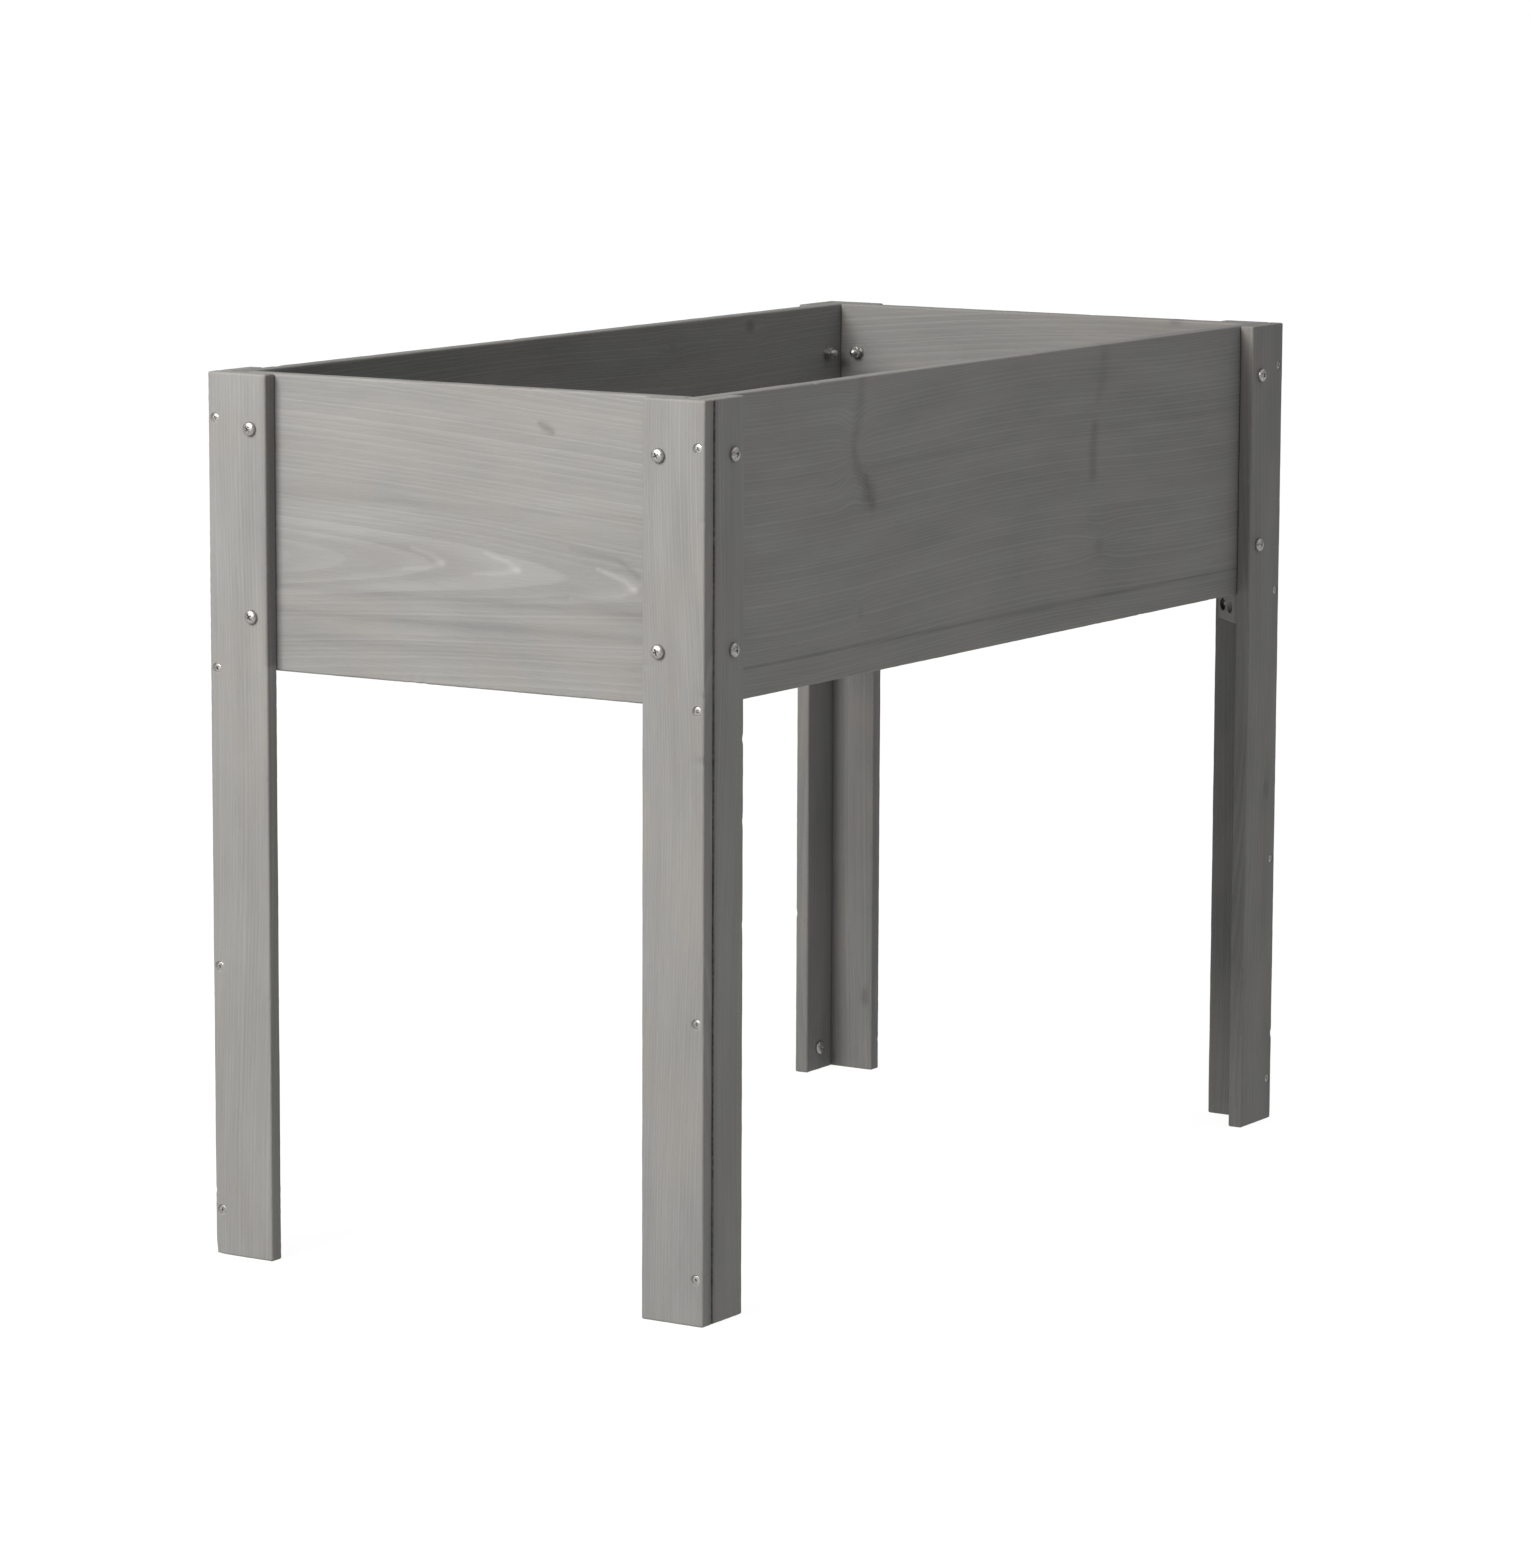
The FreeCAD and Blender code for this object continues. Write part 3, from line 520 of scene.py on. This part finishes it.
def lathe(profile, around, thread=None):
    """A closed mesh turned about Z from an outline of (radius, height), which starts and ends on the axis.

    thread is (pitch, depth, top, bottom): a groove that winds down between two heights.
    """
    made = bmesh.new()
    rings = []
    for radius, height in profile:
        if radius == 0:
            rings.append([made.verts.new((0, 0, height * MM))])
            continue
        ring = []
        for step in range(around):
            angle = 2 * math.pi * step / around
            reach = radius - thread_cut(thread, angle, height)
            place = Vector((reach * math.cos(angle), reach * math.sin(angle), height))
            ring.append(made.verts.new(place * MM))
        rings.append(ring)
    for upper, lower in zip(rings, rings[1:]):
        for step in range(around):
            following = (step + 1) % around
            corners = [upper[step % len(upper)], lower[step % len(lower)],
                       lower[following % len(lower)], upper[following % len(upper)]]
            made.faces.new(list(dict.fromkeys(corners)))
    bmesh.ops.recalc_face_normals(made, faces=made.faces)
    return made


def thread_cut(thread, angle, height):
    """Depth of a thread's groove at one angle and height."""
    if thread is None:
        return 0.0
    pitch, depth, top, bottom = thread
    fade = min(1.0, max(0.0, min(top - height, height - bottom) / pitch))
    turn = height / pitch + angle / (2 * math.pi)
    return depth * fade * (0.5 - 0.5 * math.cos(2 * math.pi * turn))


def turned_to(direction, place, spin=0.0):
    """The matrix that puts a piece made along +Z at a place, in millimetres, facing a direction."""
    turn = Vector(direction).to_track_quat("Z", "Y").to_matrix().to_4x4()
    return Matrix.Translation(Vector(place) * MM) @ turn @ Matrix.Rotation(spin, 4, "Z")


def new_object(name, mesh):
    """An object in the scene that shows a mesh."""
    made = bpy.data.objects.new(name, mesh)
    bpy.context.scene.collection.objects.link(made)
    return made


def cut_away(mesh, cutter):
    """The mesh that is left of one mesh after another is cut from it."""
    kept, knife = new_object("kept", mesh), new_object("knife", cutter)
    step = kept.modifiers.new("cut", "BOOLEAN")
    step.operation = "DIFFERENCE"
    step.solver = "MANIFOLD"
    step.object = knife
    bpy.context.view_layer.update()
    result = bpy.data.meshes.new_from_object(kept.evaluated_get(bpy.context.evaluated_depsgraph_get()))
    bpy.data.objects.remove(kept)
    bpy.data.objects.remove(knife)
    bpy.data.meshes.remove(cutter)
    return result


def hole_cutters(board, fasteners):
    """One mesh of everything that the fasteners cut from a board, or None."""
    made = bmesh.new()
    for each in fasteners:
        if not each.crosses(board.low, board.high):
            continue
        near, far = board.low[each.axis], board.high[each.axis]
        head = each.head[each.axis]
        size = FASTENERS[each.kind]
        if each.kind == "bolt":
            radius = BOLT_HOLE_DIA / 2
            outline = [(0, CUTTER_OVER + 2), (radius, CUTTER_OVER + 2)]
        elif size["sunk"] and near - HEAD_NEAR_FACE < head < far + HEAD_NEAR_FACE:
            radius = size["shank"] / 2 + HOLE_CLEARANCE
            head_radius = size["head"] / 2 + HOLE_CLEARANCE
            outline = [(0, CUTTER_OVER), (head_radius + CUTTER_OVER, CUTTER_OVER), (radius, -size["height"])]
        else:
            continue
        tool = lathe(outline + [(radius, -CUTTER_LENGTH), (0, -CUTTER_LENGTH)], CUTTER_SIDES)
        matrix = turned_to(each.direction, each.head)
        tool.transform(matrix)
        part = bpy.data.meshes.new("part")
        tool.to_mesh(part)
        tool.free()
        made.from_mesh(part)
        bpy.data.meshes.remove(part)
    if not made.verts:
        made.free()
        return None
    cutter = bpy.data.meshes.new("cutter")
    made.to_mesh(cutter)
    made.free()
    return cutter


def board_mesh(board, fasteners):
    """The board's worn grid, with its holes."""
    rounding = EDGE_ROUND[board.kind]
    along_near, across_near = detail_lines(board)
    lines = [None, None, None]
    lines[board.along] = grid_lines(board.length, rounding, GRID_ALONG, along_near)
    lines[board.across] = grid_lines(board.width, rounding, GRID_ACROSS, across_near)
    lines[board.through] = grid_lines(board.thickness, rounding, GRID_THROUGH, ())
    points, normals, quads = rounded_grid(board.low, board.high, rounding, lines)
    points = points - normals * worn_depth(board, board.local(points), points)[:, None]
    mesh = bpy.data.meshes.new(board.node)
    mesh.from_pydata((points * MM).tolist(), [], quads.tolist())
    cutter = hole_cutters(board, fasteners)
    return mesh if cutter is None else cut_away(mesh, cutter)


# ---------------------------------------------------------------- wood: what the material reads


def line_distance(local, line):
    """Distance of points from a bent line of (along, across, half width), as a share of its half width."""
    closest = np.full(len(local), np.inf)
    for (along_a, across_a, wide_a), (along_b, across_b, wide_b) in zip(line, line[1:]):
        start = np.array([along_a, across_a])
        run = np.array([along_b, across_b]) - start
        share = np.clip((local[:, :2] - start) @ run / (run @ run), 0, 1)
        gap = np.linalg.norm(local[:, :2] - start - share[:, None] * run, axis=1)
        closest = np.minimum(closest, gap / (wide_a + share * (wide_b - wide_a)))
    return closest


def write_values(mesh, name, values):
    """One number, or three, for each point of a mesh."""
    kind, field = ("FLOAT", "value") if values.ndim == 1 else ("FLOAT_VECTOR", "vector")
    made = mesh.attributes.new(name, kind, "POINT")
    made.data.foreach_set(field, values.astype(np.float32).ravel())


def points_of(mesh):
    """A mesh's points in millimetres."""
    found = np.empty(len(mesh.vertices) * 3)
    mesh.vertices.foreach_get("co", found)
    return found.reshape(-1, 3) / MM


def describe_wood(mesh, board):
    """Write where each point lies in the tree it was cut from, what has happened to it since, and where
    shade is painted on it.
    """
    points = points_of(mesh)
    local = board.local(points)
    along, across, depth = local.T
    side, below = board.pith
    sway = board.drift * np.sin(2 * math.pi * along / SWAY_LENGTH + board.seed)
    grain = np.stack([along, across - board.width / 2 - side - sway, depth - below], axis=1)
    bend = board.taper * along
    knot_and_shade = np.zeros(len(points))
    for place, height, half_length, half_width, strength in board.knots:
        run, rise = along - place, across - height
        far = (run / half_length) ** 2 + (rise / half_width) ** 2
        near_knot = np.exp(-(run / (3.5 * half_length)) ** 2 - (rise / (2.4 * half_width)) ** 2)
        bend = bend - KNOT_BEND * rise * near_knot
        knot_and_shade = np.maximum(knot_and_shade, strength * np.exp(-far ** 1.5 * 0.7))
    # The spike lines also carry painted shade beside the left end panel
    for line, strength in board.spikes_and_shade_lines:
        knot_and_shade = np.maximum(knot_and_shade, strength * np.exp(-line_distance(local, line) ** 2.4 * 0.8))
    # fade makes a board lighter or darker from one end to the other; on the front panel this is painted
    # light falloff
    tone = board.tone + board.fade * (along / board.length - 0.5)
    if board.joint is not None:
        # Painted shade: a leg's boards darken towards the groove where its two boards meet
        from_joint = np.linalg.norm(points[:, :2] - board.joint, axis=1)
        tone = tone - JOINT_SHADE * np.exp(-(from_joint / JOINT_REACH) ** 2)
    for height, half_width, change in board.streaks:
        tone += change * np.exp(-((across - height) / half_width) ** 2)
    for line, change in board.marks:
        tone = tone + change * np.exp(-line_distance(local, line) ** 2)
    write_values(mesh, "grain", grain)
    write_values(mesh, "bend", bend)
    write_values(mesh, "knot_and_shade", knot_and_shade)
    write_values(mesh, "tone", tone)
    write_values(mesh, "wear", np.exp(-edge_distance(board, local) / EDGE_REACH))
    from_end = np.minimum(along, board.length - along)
    write_values(mesh, "end", np.clip(1 - from_end / END_REACH, 0, 1))
    write_values(mesh, "seed", np.full(len(points), board.seed))
    write_values(mesh, "fineness", np.full(len(points), 1 / board.spacing))


# ---------------------------------------------------------------- materials


class Shader:
    """Short calls that add nodes to one material and link them. A value is a number or a node's output."""

    def __init__(self, name):
        self.material = bpy.data.materials.new(name)
        self.material.use_nodes = True
        self.tree = self.material.node_tree
        self.surface = self.tree.nodes["Principled BSDF"]

    def put(self, socket, value):
        if isinstance(value, bpy.types.NodeSocket):
            self.tree.links.new(value, socket)
        else:
            socket.default_value = value

    def value_of(self, name):
        node = self.tree.nodes.new("ShaderNodeAttribute")
        node.attribute_name = name
        return node.outputs["Fac"]

    def vector_of(self, name):
        node = self.tree.nodes.new("ShaderNodeAttribute")
        node.attribute_name = name
        return node.outputs["Vector"]

    def maths(self, operation, *values, clamp=False):
        node = self.tree.nodes.new("ShaderNodeMath")
        node.operation = operation
        node.use_clamp = clamp
        for socket, value in zip(node.inputs, values):
            self.put(socket, value)
        return node.outputs[0]

    def add(self, *values):
        total = values[0]
        for value in values[1:]:
            total = self.maths("ADD", total, value)
        return total

    def scaled(self, value, centre, amount):
        """How far a value is from a centre, times an amount."""
        return self.maths("MULTIPLY", self.maths("SUBTRACT", value, centre), amount)

    def stretched(self, vector, scale):
        node = self.tree.nodes.new("ShaderNodeVectorMath")
        node.operation = "MULTIPLY"
        self.put(node.inputs[0], vector)
        node.inputs[1].default_value = scale
        return node.outputs[0]

    def moved(self, vector, offset):
        node = self.tree.nodes.new("ShaderNodeVectorMath")
        node.operation = "ADD"
        self.put(node.inputs[0], vector)
        self.put(node.inputs[1], offset)
        return node.outputs[0]

    def combined(self, *values):
        node = self.tree.nodes.new("ShaderNodeCombineXYZ")
        for socket, value in zip(node.inputs, values):
            self.put(socket, value)
        return node.outputs[0]

    def parts(self, vector):
        node = self.tree.nodes.new("ShaderNodeSeparateXYZ")
        self.put(node.inputs[0], vector)
        return node.outputs[0], node.outputs[1], node.outputs[2]

    def noise(self, vector, scale=1.0, detail=2.0, roughness=0.5):
        node = self.tree.nodes.new("ShaderNodeTexNoise")
        self.put(node.inputs["Vector"], vector)
        node.inputs["Scale"].default_value = scale
        node.inputs["Detail"].default_value = detail
        node.inputs["Roughness"].default_value = roughness
        return node.outputs["Fac"]

    def line_noise(self, value, scale=1.0, detail=1.0):
        node = self.tree.nodes.new("ShaderNodeTexNoise")
        node.noise_dimensions = "1D"
        self.put(node.inputs["W"], value)
        node.inputs["Scale"].default_value = scale
        node.inputs["Detail"].default_value = detail
        return node.outputs["Fac"]

    def ramp(self, value, start, end):
        """0 up to start, 1 from end on, and a smooth step between them."""
        node = self.tree.nodes.new("ShaderNodeMapRange")
        node.interpolation_type = "SMOOTHSTEP"
        self.put(node.inputs["Value"], value)
        node.inputs["From Min"].default_value = start
        node.inputs["From Max"].default_value = end
        return node.outputs["Result"]

    def blend(self, share, first, second, clamp=True):
        node = self.tree.nodes.new("ShaderNodeMix")
        node.data_type = "RGBA"
        node.clamp_factor = clamp
        self.put(node.inputs[0], share)
        self.put(node.inputs[6], first)
        self.put(node.inputs[7], second)
        return node.outputs[2]

    def bump(self, height, strength, distance):
        node = self.tree.nodes.new("ShaderNodeBump")
        node.inputs["Strength"].default_value = strength
        node.inputs["Distance"].default_value = distance
        self.put(node.inputs["Height"], height)
        return node.outputs["Normal"]


def stained_wood():
    """Pine under a thin grey stain: growth rings, fibres, blotches, knots, end grain and rubbed edges, with
    painted shade along the legs' joints and beside the left end panel.
    """
    made = Shader("stained_wood")
    seed = made.value_of("seed")
    grain = made.vector_of("grain")
    shift = made.combined(*(made.maths("MULTIPLY", seed, step) for step in SEED_SHIFT))
    place = made.moved(grain, shift)
    _, across, depth = made.parts(grain)

    # Growth rings
    squares = made.add(made.maths("MULTIPLY", across, across), made.maths("MULTIPLY", depth, depth))
    radius = made.add(made.maths("SQRT", squares), made.value_of("bend"))
    slow = made.noise(made.stretched(place, SLOW_RATE), detail=1.0)
    quick = made.noise(made.stretched(place, QUICK_RATE), detail=2.0)
    radius = made.add(radius, made.scaled(slow, 0.5, SLOW_WANDER), made.scaled(quick, 0.5, QUICK_WANDER))
    uneven = made.line_noise(made.add(made.maths("MULTIPLY", radius, 0.06), seed))
    even_rings = made.maths("MULTIPLY", radius, made.value_of("fineness"))
    rings = made.add(even_rings, made.scaled(uneven, 0.5, UNEVEN_RINGS))
    phase = made.maths("FRACT", rings)
    before_next = made.maths("SUBTRACT", 1.0, made.ramp(phase, 0.9, 1.0))
    band = made.maths("MULTIPLY", made.ramp(phase, 0.25, 0.88), before_next)
    strength = made.ramp(made.line_noise(made.maths("FLOOR", rings), 0.73), 0.3, 0.7)
    latewood = made.maths("MULTIPLY", band, made.maths("MULTIPLY_ADD", strength, 0.75, 0.25))

    # Fibres and stain
    fibre = made.noise(made.stretched(place, FIBRE_RATE), detail=3.0, roughness=0.6)
    hair = made.noise(made.stretched(place, HAIR_RATE), detail=2.0, roughness=0.6)
    pores = made.ramp(made.noise(made.stretched(place, PORES_RATE), detail=1.0), 0.67, 0.78)
    blotch = made.noise(made.stretched(place, BLOTCH_RATE), detail=3.0)
    cloud = made.noise(made.stretched(place, CLOUD_RATE), detail=2.0)
    light = made.add(
        made.value_of("tone"),
        made.scaled(latewood, 0.3, LATEWOOD_SHOWS),
        made.scaled(fibre, 0.5, FIBRE_SHOWS),
        made.scaled(hair, 0.5, HAIR_SHOWS),
        made.scaled(blotch, 0.5, BLOTCH_SHOWS),
        made.maths("MULTIPLY", pores, PORES_SHOW),
        0.5,
    )
    colour = made.blend(light, srgb(*DARK_STAIN), srgb(*LIGHT_STAIN), clamp=False)
    hue = made.ramp(cloud, 0.42, 0.68)
    colour = made.blend(made.maths("MULTIPLY", hue, HUE_SHOWS), colour, srgb(*WARM_STAIN))

    # Ends, knots, painted shade beside the left end panel, and rubbed edges
    ends = made.maths("MULTIPLY", made.value_of("end"), END_SHOWS)
    colour = made.blend(ends, colour, srgb(*END_GRAIN))
    speckle = made.noise(made.stretched(place, SPECKLE_RATE), detail=3.0)
    knot_and_shade = made.maths("MULTIPLY", made.value_of("knot_and_shade"), made.add(speckle, 0.45), clamp=True)
    colour = made.blend(knot_and_shade, colour, srgb(*KNOT_AND_SHADE_COLOUR))
    rubbed = made.maths("MULTIPLY", made.value_of("wear"), made.ramp(speckle, 0.42, 0.66))
    colour = made.blend(made.maths("MULTIPLY", rubbed, RUBBED_SHOWS), colour, srgb(*RUBBED_WOOD))

    surface = made.surface
    made.put(surface.inputs["Base Color"], colour)
    roughness = made.add(WOOD_ROUGHNESS, made.scaled(fibre, 0.5, 0.25), made.scaled(latewood, 0.3, -0.12))
    made.put(surface.inputs["Roughness"], roughness)
    surface.inputs["Specular IOR Level"].default_value = 0.35
    relief = made.add(made.maths("MULTIPLY", latewood, 0.5), made.maths("MULTIPLY", fibre, 0.9),
                      made.maths("MULTIPLY", hair, 0.45), made.maths("MULTIPLY", pores, -0.5),
                      made.maths("MULTIPLY", knot_and_shade, 0.3))
    made.put(surface.inputs["Normal"], made.bump(relief, 0.5, 0.25 * MM))
    return made.material


def zinc_steel():
    """Zinc-plated steel: bright, slightly mottled, with fine scratches and a dull bloom."""
    made = Shader("zinc_steel")
    node = made.tree.nodes.new("ShaderNodeTexCoord")
    place = made.stretched(node.outputs["Object"], (1 / MM, 1 / MM, 1 / MM))
    mottle = made.noise(place, scale=0.6, detail=3.0)
    bloom = made.noise(place, scale=0.17, detail=2.0)
    scratch = made.noise(made.stretched(place, SCRATCH_RATE), detail=2.0)
    colour = made.blend(made.ramp(mottle, 0.3, 0.7), srgb(*DULL_ZINC), srgb(*BRIGHT_ZINC))
    covered = made.maths("MULTIPLY", made.ramp(bloom, 0.5, 0.75), BLOOM_SHOWS)
    colour = made.blend(covered, colour, srgb(*ZINC_BLOOM))
    made.put(made.surface.inputs["Base Color"], colour)
    made.surface.inputs["Metallic"].default_value = 1.0
    roughness = made.add(ZINC_ROUGHNESS, made.scaled(mottle, 0.5, 0.22), made.scaled(scratch, 0.5, 0.16))
    made.put(made.surface.inputs["Roughness"], roughness)
    relief = made.add(made.maths("MULTIPLY", mottle, 0.5), made.maths("MULTIPLY", scratch, 0.6))
    made.put(made.surface.inputs["Normal"], made.bump(relief, 0.25, 0.05 * MM))
    return made.material


# ---------------------------------------------------------------- fasteners


def dome(radius, height, side):
    """Outline of a pan head from the middle of its top down to the surface it stands on."""
    outline = [(0, height)]
    for step in range(1, DOME_STEPS + 1):
        angle = math.pi / 2 * step / DOME_STEPS
        outline.append((radius * math.sin(angle) ** 0.8, side + (height - side) * math.cos(angle) ** 0.75))
    return outline + [(radius, 0.3), (radius - 0.3, 0)]


def shank(radius, length, tip, pitch):
    """Outline of a shank from below the head to its tip, in rows fine enough for a thread."""
    rows = []
    row_height = pitch / ROWS_PER_TURN
    for row in range(1, int((length - tip) / row_height) + 1):
        rows.append((radius, -row * row_height))
    for row in range(1, TIP_ROWS + 1):
        share = row / TIP_ROWS
        rows.append((radius * (1 - 0.75 * share ** 1.3), -(length - tip) - tip * share))
    return rows + [(0, -length - 0.2)]


def cross_cutter(span, width, depth, top):
    """A cross that narrows downwards, as a cross-point driver leaves it."""
    made = bmesh.new()
    sheets = []
    for level, share in ((top + 1, 1.12), (top - depth, 0.42)):
        arm, half = span / 2 * share, width / 2 * (0.5 + 0.5 * share)
        quarter = [(arm, -half), (arm, half), (half, half)]
        ring = []
        for turn in range(4):
            cosine, sine = ((1, 0), (0, 1), (-1, 0), (0, -1))[turn]
            for x, y in quarter:
                place = (x * cosine - y * sine, x * sine + y * cosine, level)
                ring.append(made.verts.new(Vector(place) * MM))
        sheets.append(ring)
    count = len(sheets[0])
    for step in range(count):
        following = (step + 1) % count
        made.faces.new((sheets[0][step], sheets[0][following], sheets[1][following], sheets[1][step]))
    made.faces.new(sheets[0])
    made.faces.new(sheets[1])
    bmesh.ops.recalc_face_normals(made, faces=made.faces)
    cutter = bpy.data.meshes.new("cross")
    made.to_mesh(cutter)
    made.free()
    return cutter


def fastener_mesh(kind):
    """One bolt or screw along Z, with the top of its head at height 0."""
    size = FASTENERS[kind]
    radius, height, shank_radius = size["head"] / 2, size["height"], size["shank"] / 2
    if size["sunk"]:
        top = 0.0
        head = [(0, 0), (radius - 0.35, 0), (radius, -0.2), (shank_radius, -height)]
        shift = 0.0
    else:
        top = height
        head = dome(radius, height, size["side"])
        shift = -height
    length = size["length"] - (height if size["sunk"] else 0)
    start = -height if size["sunk"] else 0.0
    outline = shank(shank_radius, length, size["tip"], size["pitch"])
    rows = [(reach, start + level) for reach, level in outline]
    thread = (size["pitch"], size["groove"], start - size["plain"], start - length + 0.5)
    made = lathe(head + [(shank_radius, start - 0.05)] + rows, size["around"], thread)
    mesh = bpy.data.meshes.new(kind)
    made.to_mesh(mesh)
    made.free()
    mesh = cut_away(mesh, cross_cutter(size["cross"], size["slot"], size["deep"], top))
    mesh.transform(Matrix.Translation((0, 0, shift * MM)))
    return mesh


def joined_copies(mesh, matrices):
    """One mesh that holds a copy of another at each matrix."""
    made = bmesh.new()
    for matrix in matrices:
        copy = mesh.copy()
        copy.transform(matrix)
        made.from_mesh(copy)
        bpy.data.meshes.remove(copy)
    result = bpy.data.meshes.new(mesh.name)
    made.to_mesh(result)
    made.free()
    return result


# ---------------------------------------------------------------- putting it together


def finish_piece(name, mesh, material, nodes):
    """Show a mesh as a piece that stands for CAD nodes and rides with the planter."""
    mesh.shade_smooth()
    mesh.set_sharp_from_angle(angle=SMOOTH_BELOW)
    mesh.materials.clear()
    mesh.materials.append(material)
    piece = new_object(name, mesh)
    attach(piece, "root")
    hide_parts(*nodes)
    return piece


def build_boards(material, fasteners):
    """Every board, and the corner blocks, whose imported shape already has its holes."""
    straight = [each for placed in fasteners.values() for each in placed]
    for board in all_boards():
        mesh = board_mesh(board, straight)
        describe_wood(mesh, board)
        finish_piece(f"{board.node}_wood", mesh, material, [board.node])
    for number, leg in enumerate(LEGS, start=FIRST_BLOCK_NUMBER):
        node = f"{leg}_corner_block"
        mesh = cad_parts[node].data.copy()
        block = Board(node, number, "batten", pith=(60, 40), spacing=2.6)
        block.along, block.across, block.through = 2, 0, 1
        block.length, block.width, block.thickness = (block.high - block.low)[[2, 0, 1]]
        describe_wood(mesh, block)
        finish_piece(f"{node}_wood", mesh, material, [node])


def build_fasteners(material, fasteners):
    """Bolts and screws as finer pieces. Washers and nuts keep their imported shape."""
    spins = random.Random(7)
    models = {kind: fastener_mesh(kind) for kind in FASTENERS}
    for node, placed in fasteners.items():
        matrices = [turned_to(each.direction, each.head, spins.uniform(0, math.pi / 2)) for each in placed]
        mesh = joined_copies(models[placed[0].kind], matrices)
        finish_piece(f"{node}_zinc", mesh, material, [node])
    for leg in LEGS:
        for part in ("washers", "nuts"):
            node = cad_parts[f"{leg}_{part}"]
            node.data.materials.clear()
            node.data.materials.append(material)


def build_floor():
    """A wide floor that looks white, and lights the planter less than it looks."""
    made = bmesh.new()
    bmesh.ops.create_grid(made, x_segments=8, y_segments=8, size=FLOOR_REACH)
    mesh = bpy.data.meshes.new("floor")
    made.to_mesh(mesh)
    made.free()
    shader = Shader("floor_paint")
    place = shader.tree.nodes.new("ShaderNodeTexCoord").outputs["Object"]
    tone = shader.noise(place, scale=1.5, detail=2.0)
    dark, light = (srgb(*colour) for colour in FLOOR_TONES)
    shader.put(shader.surface.inputs["Base Color"], shader.blend(tone, dark, light))
    shader.surface.inputs["Roughness"].default_value = 0.9
    shader.surface.inputs["Specular IOR Level"].default_value = 0.1
    shader.surface.inputs["Emission Color"].default_value = (1, 1, 1, 1)
    seen = shader.tree.nodes.new("ShaderNodeLightPath").outputs["Is Camera Ray"]
    glow = shader.maths("MULTIPLY_ADD", seen, FLOOR_SEEN - FLOOR_LIGHT, FLOOR_LIGHT)
    shader.put(shader.surface.inputs["Emission Strength"], glow)
    mesh.materials.append(shader.material)
    floor = new_object("floor", mesh)


def world_maths(world, operation, *values):
    """A sum in the world's node tree. A value is a number or a node's output."""
    node = world.node_tree.nodes.new("ShaderNodeMath")
    node.operation = operation
    for socket, value in zip(node.inputs, values):
        if isinstance(value, bpy.types.NodeSocket):
            world.node_tree.links.new(value, socket)
        else:
            socket.default_value = value
    return node.outputs[0]


def build_world():
    """White behind the planter, and a dimmer light that comes mostly from above and from one side."""
    world = bpy.data.worlds.new("studio")
    bpy.context.scene.world = world
    world.use_nodes = True
    nodes, links = world.node_tree.nodes, world.node_tree.links
    background = nodes["Background"]
    background.inputs["Color"].default_value = (1, 1, 1, 1)
    way = nodes.new("ShaderNodeTexCoord").outputs["Generated"]
    parts = nodes.new("ShaderNodeSeparateXYZ")
    links.new(way, parts.inputs[0])
    height = world_maths(world, "MAXIMUM", parts.outputs[2], 0.0)
    towards_side = nodes.new("ShaderNodeVectorMath")
    towards_side.operation = "DOT_PRODUCT"
    towards_side.inputs[1].default_value = SKY_SIDE_WAY
    links.new(way, towards_side.inputs[0])
    side = world_maths(world, "MAXIMUM", towards_side.outputs["Value"], 0.0)
    from_above = world_maths(world, "MULTIPLY_ADD", height, SKY_ZENITH - SKY_HORIZON, SKY_HORIZON)
    light = world_maths(world, "MULTIPLY_ADD", side, SKY_SIDE, from_above)
    path = nodes.new("ShaderNodeLightPath")
    level = nodes.new("ShaderNodeMix")
    links.new(light, level.inputs[2])
    level.inputs[3].default_value = SKY_BEHIND
    links.new(path.outputs["Is Camera Ray"], level.inputs[0])
    links.new(level.outputs[0], background.inputs["Strength"])


def build_lamp():
    """A soft square lamp, high on the left and a little behind."""
    data = bpy.data.lights.new("left_window", "AREA")
    data.size = LAMP_SIDE
    data.energy = LAMP_POWER
    data.color = LAMP_COLOUR
    lamp = bpy.data.objects.new("left_window", data)
    bpy.context.scene.collection.objects.link(lamp)
    lamp.location = LAMP_PLACE
    lamp.rotation_mode = "QUATERNION"
    lamp.rotation_quaternion = (Vector(LAMP_TARGET) - Vector(LAMP_PLACE)).to_track_quat("-Z", "Y")


def build_camera():
    """The camera, placed and turned as the planter is seen."""
    yaw, pitch, roll = (math.radians(angle) for angle in (CAMERA_YAW, CAMERA_PITCH, CAMERA_ROLL))
    ahead = Vector((math.sin(yaw) * math.cos(pitch), math.cos(yaw) * math.cos(pitch), math.sin(pitch)))
    level = Vector((math.cos(yaw), -math.sin(yaw), 0))
    up = level.cross(ahead)
    right_hand = math.cos(roll) * level + math.sin(roll) * up
    above = math.cos(roll) * up - math.sin(roll) * level
    turn = Matrix((right_hand, above, -ahead)).transposed().to_4x4()
    data = bpy.data.cameras.new("camera")
    data.sensor_width = CAMERA_SENSOR
    data.lens = CAMERA_LENS
    data.clip_end = CAMERA_SEES
    camera = bpy.data.objects.new("camera", data)
    bpy.context.scene.collection.objects.link(camera)
    camera.matrix_world = Matrix.Translation(CAMERA_PLACE) @ turn
    bpy.context.scene.camera = camera


fasteners = find_fasteners()
build_boards(stained_wood(), fasteners)
build_fasteners(zinc_steel(), fasteners)
build_floor()
build_world()
build_lamp()
build_camera()
bpy.context.scene.view_settings.view_transform = "Standard"
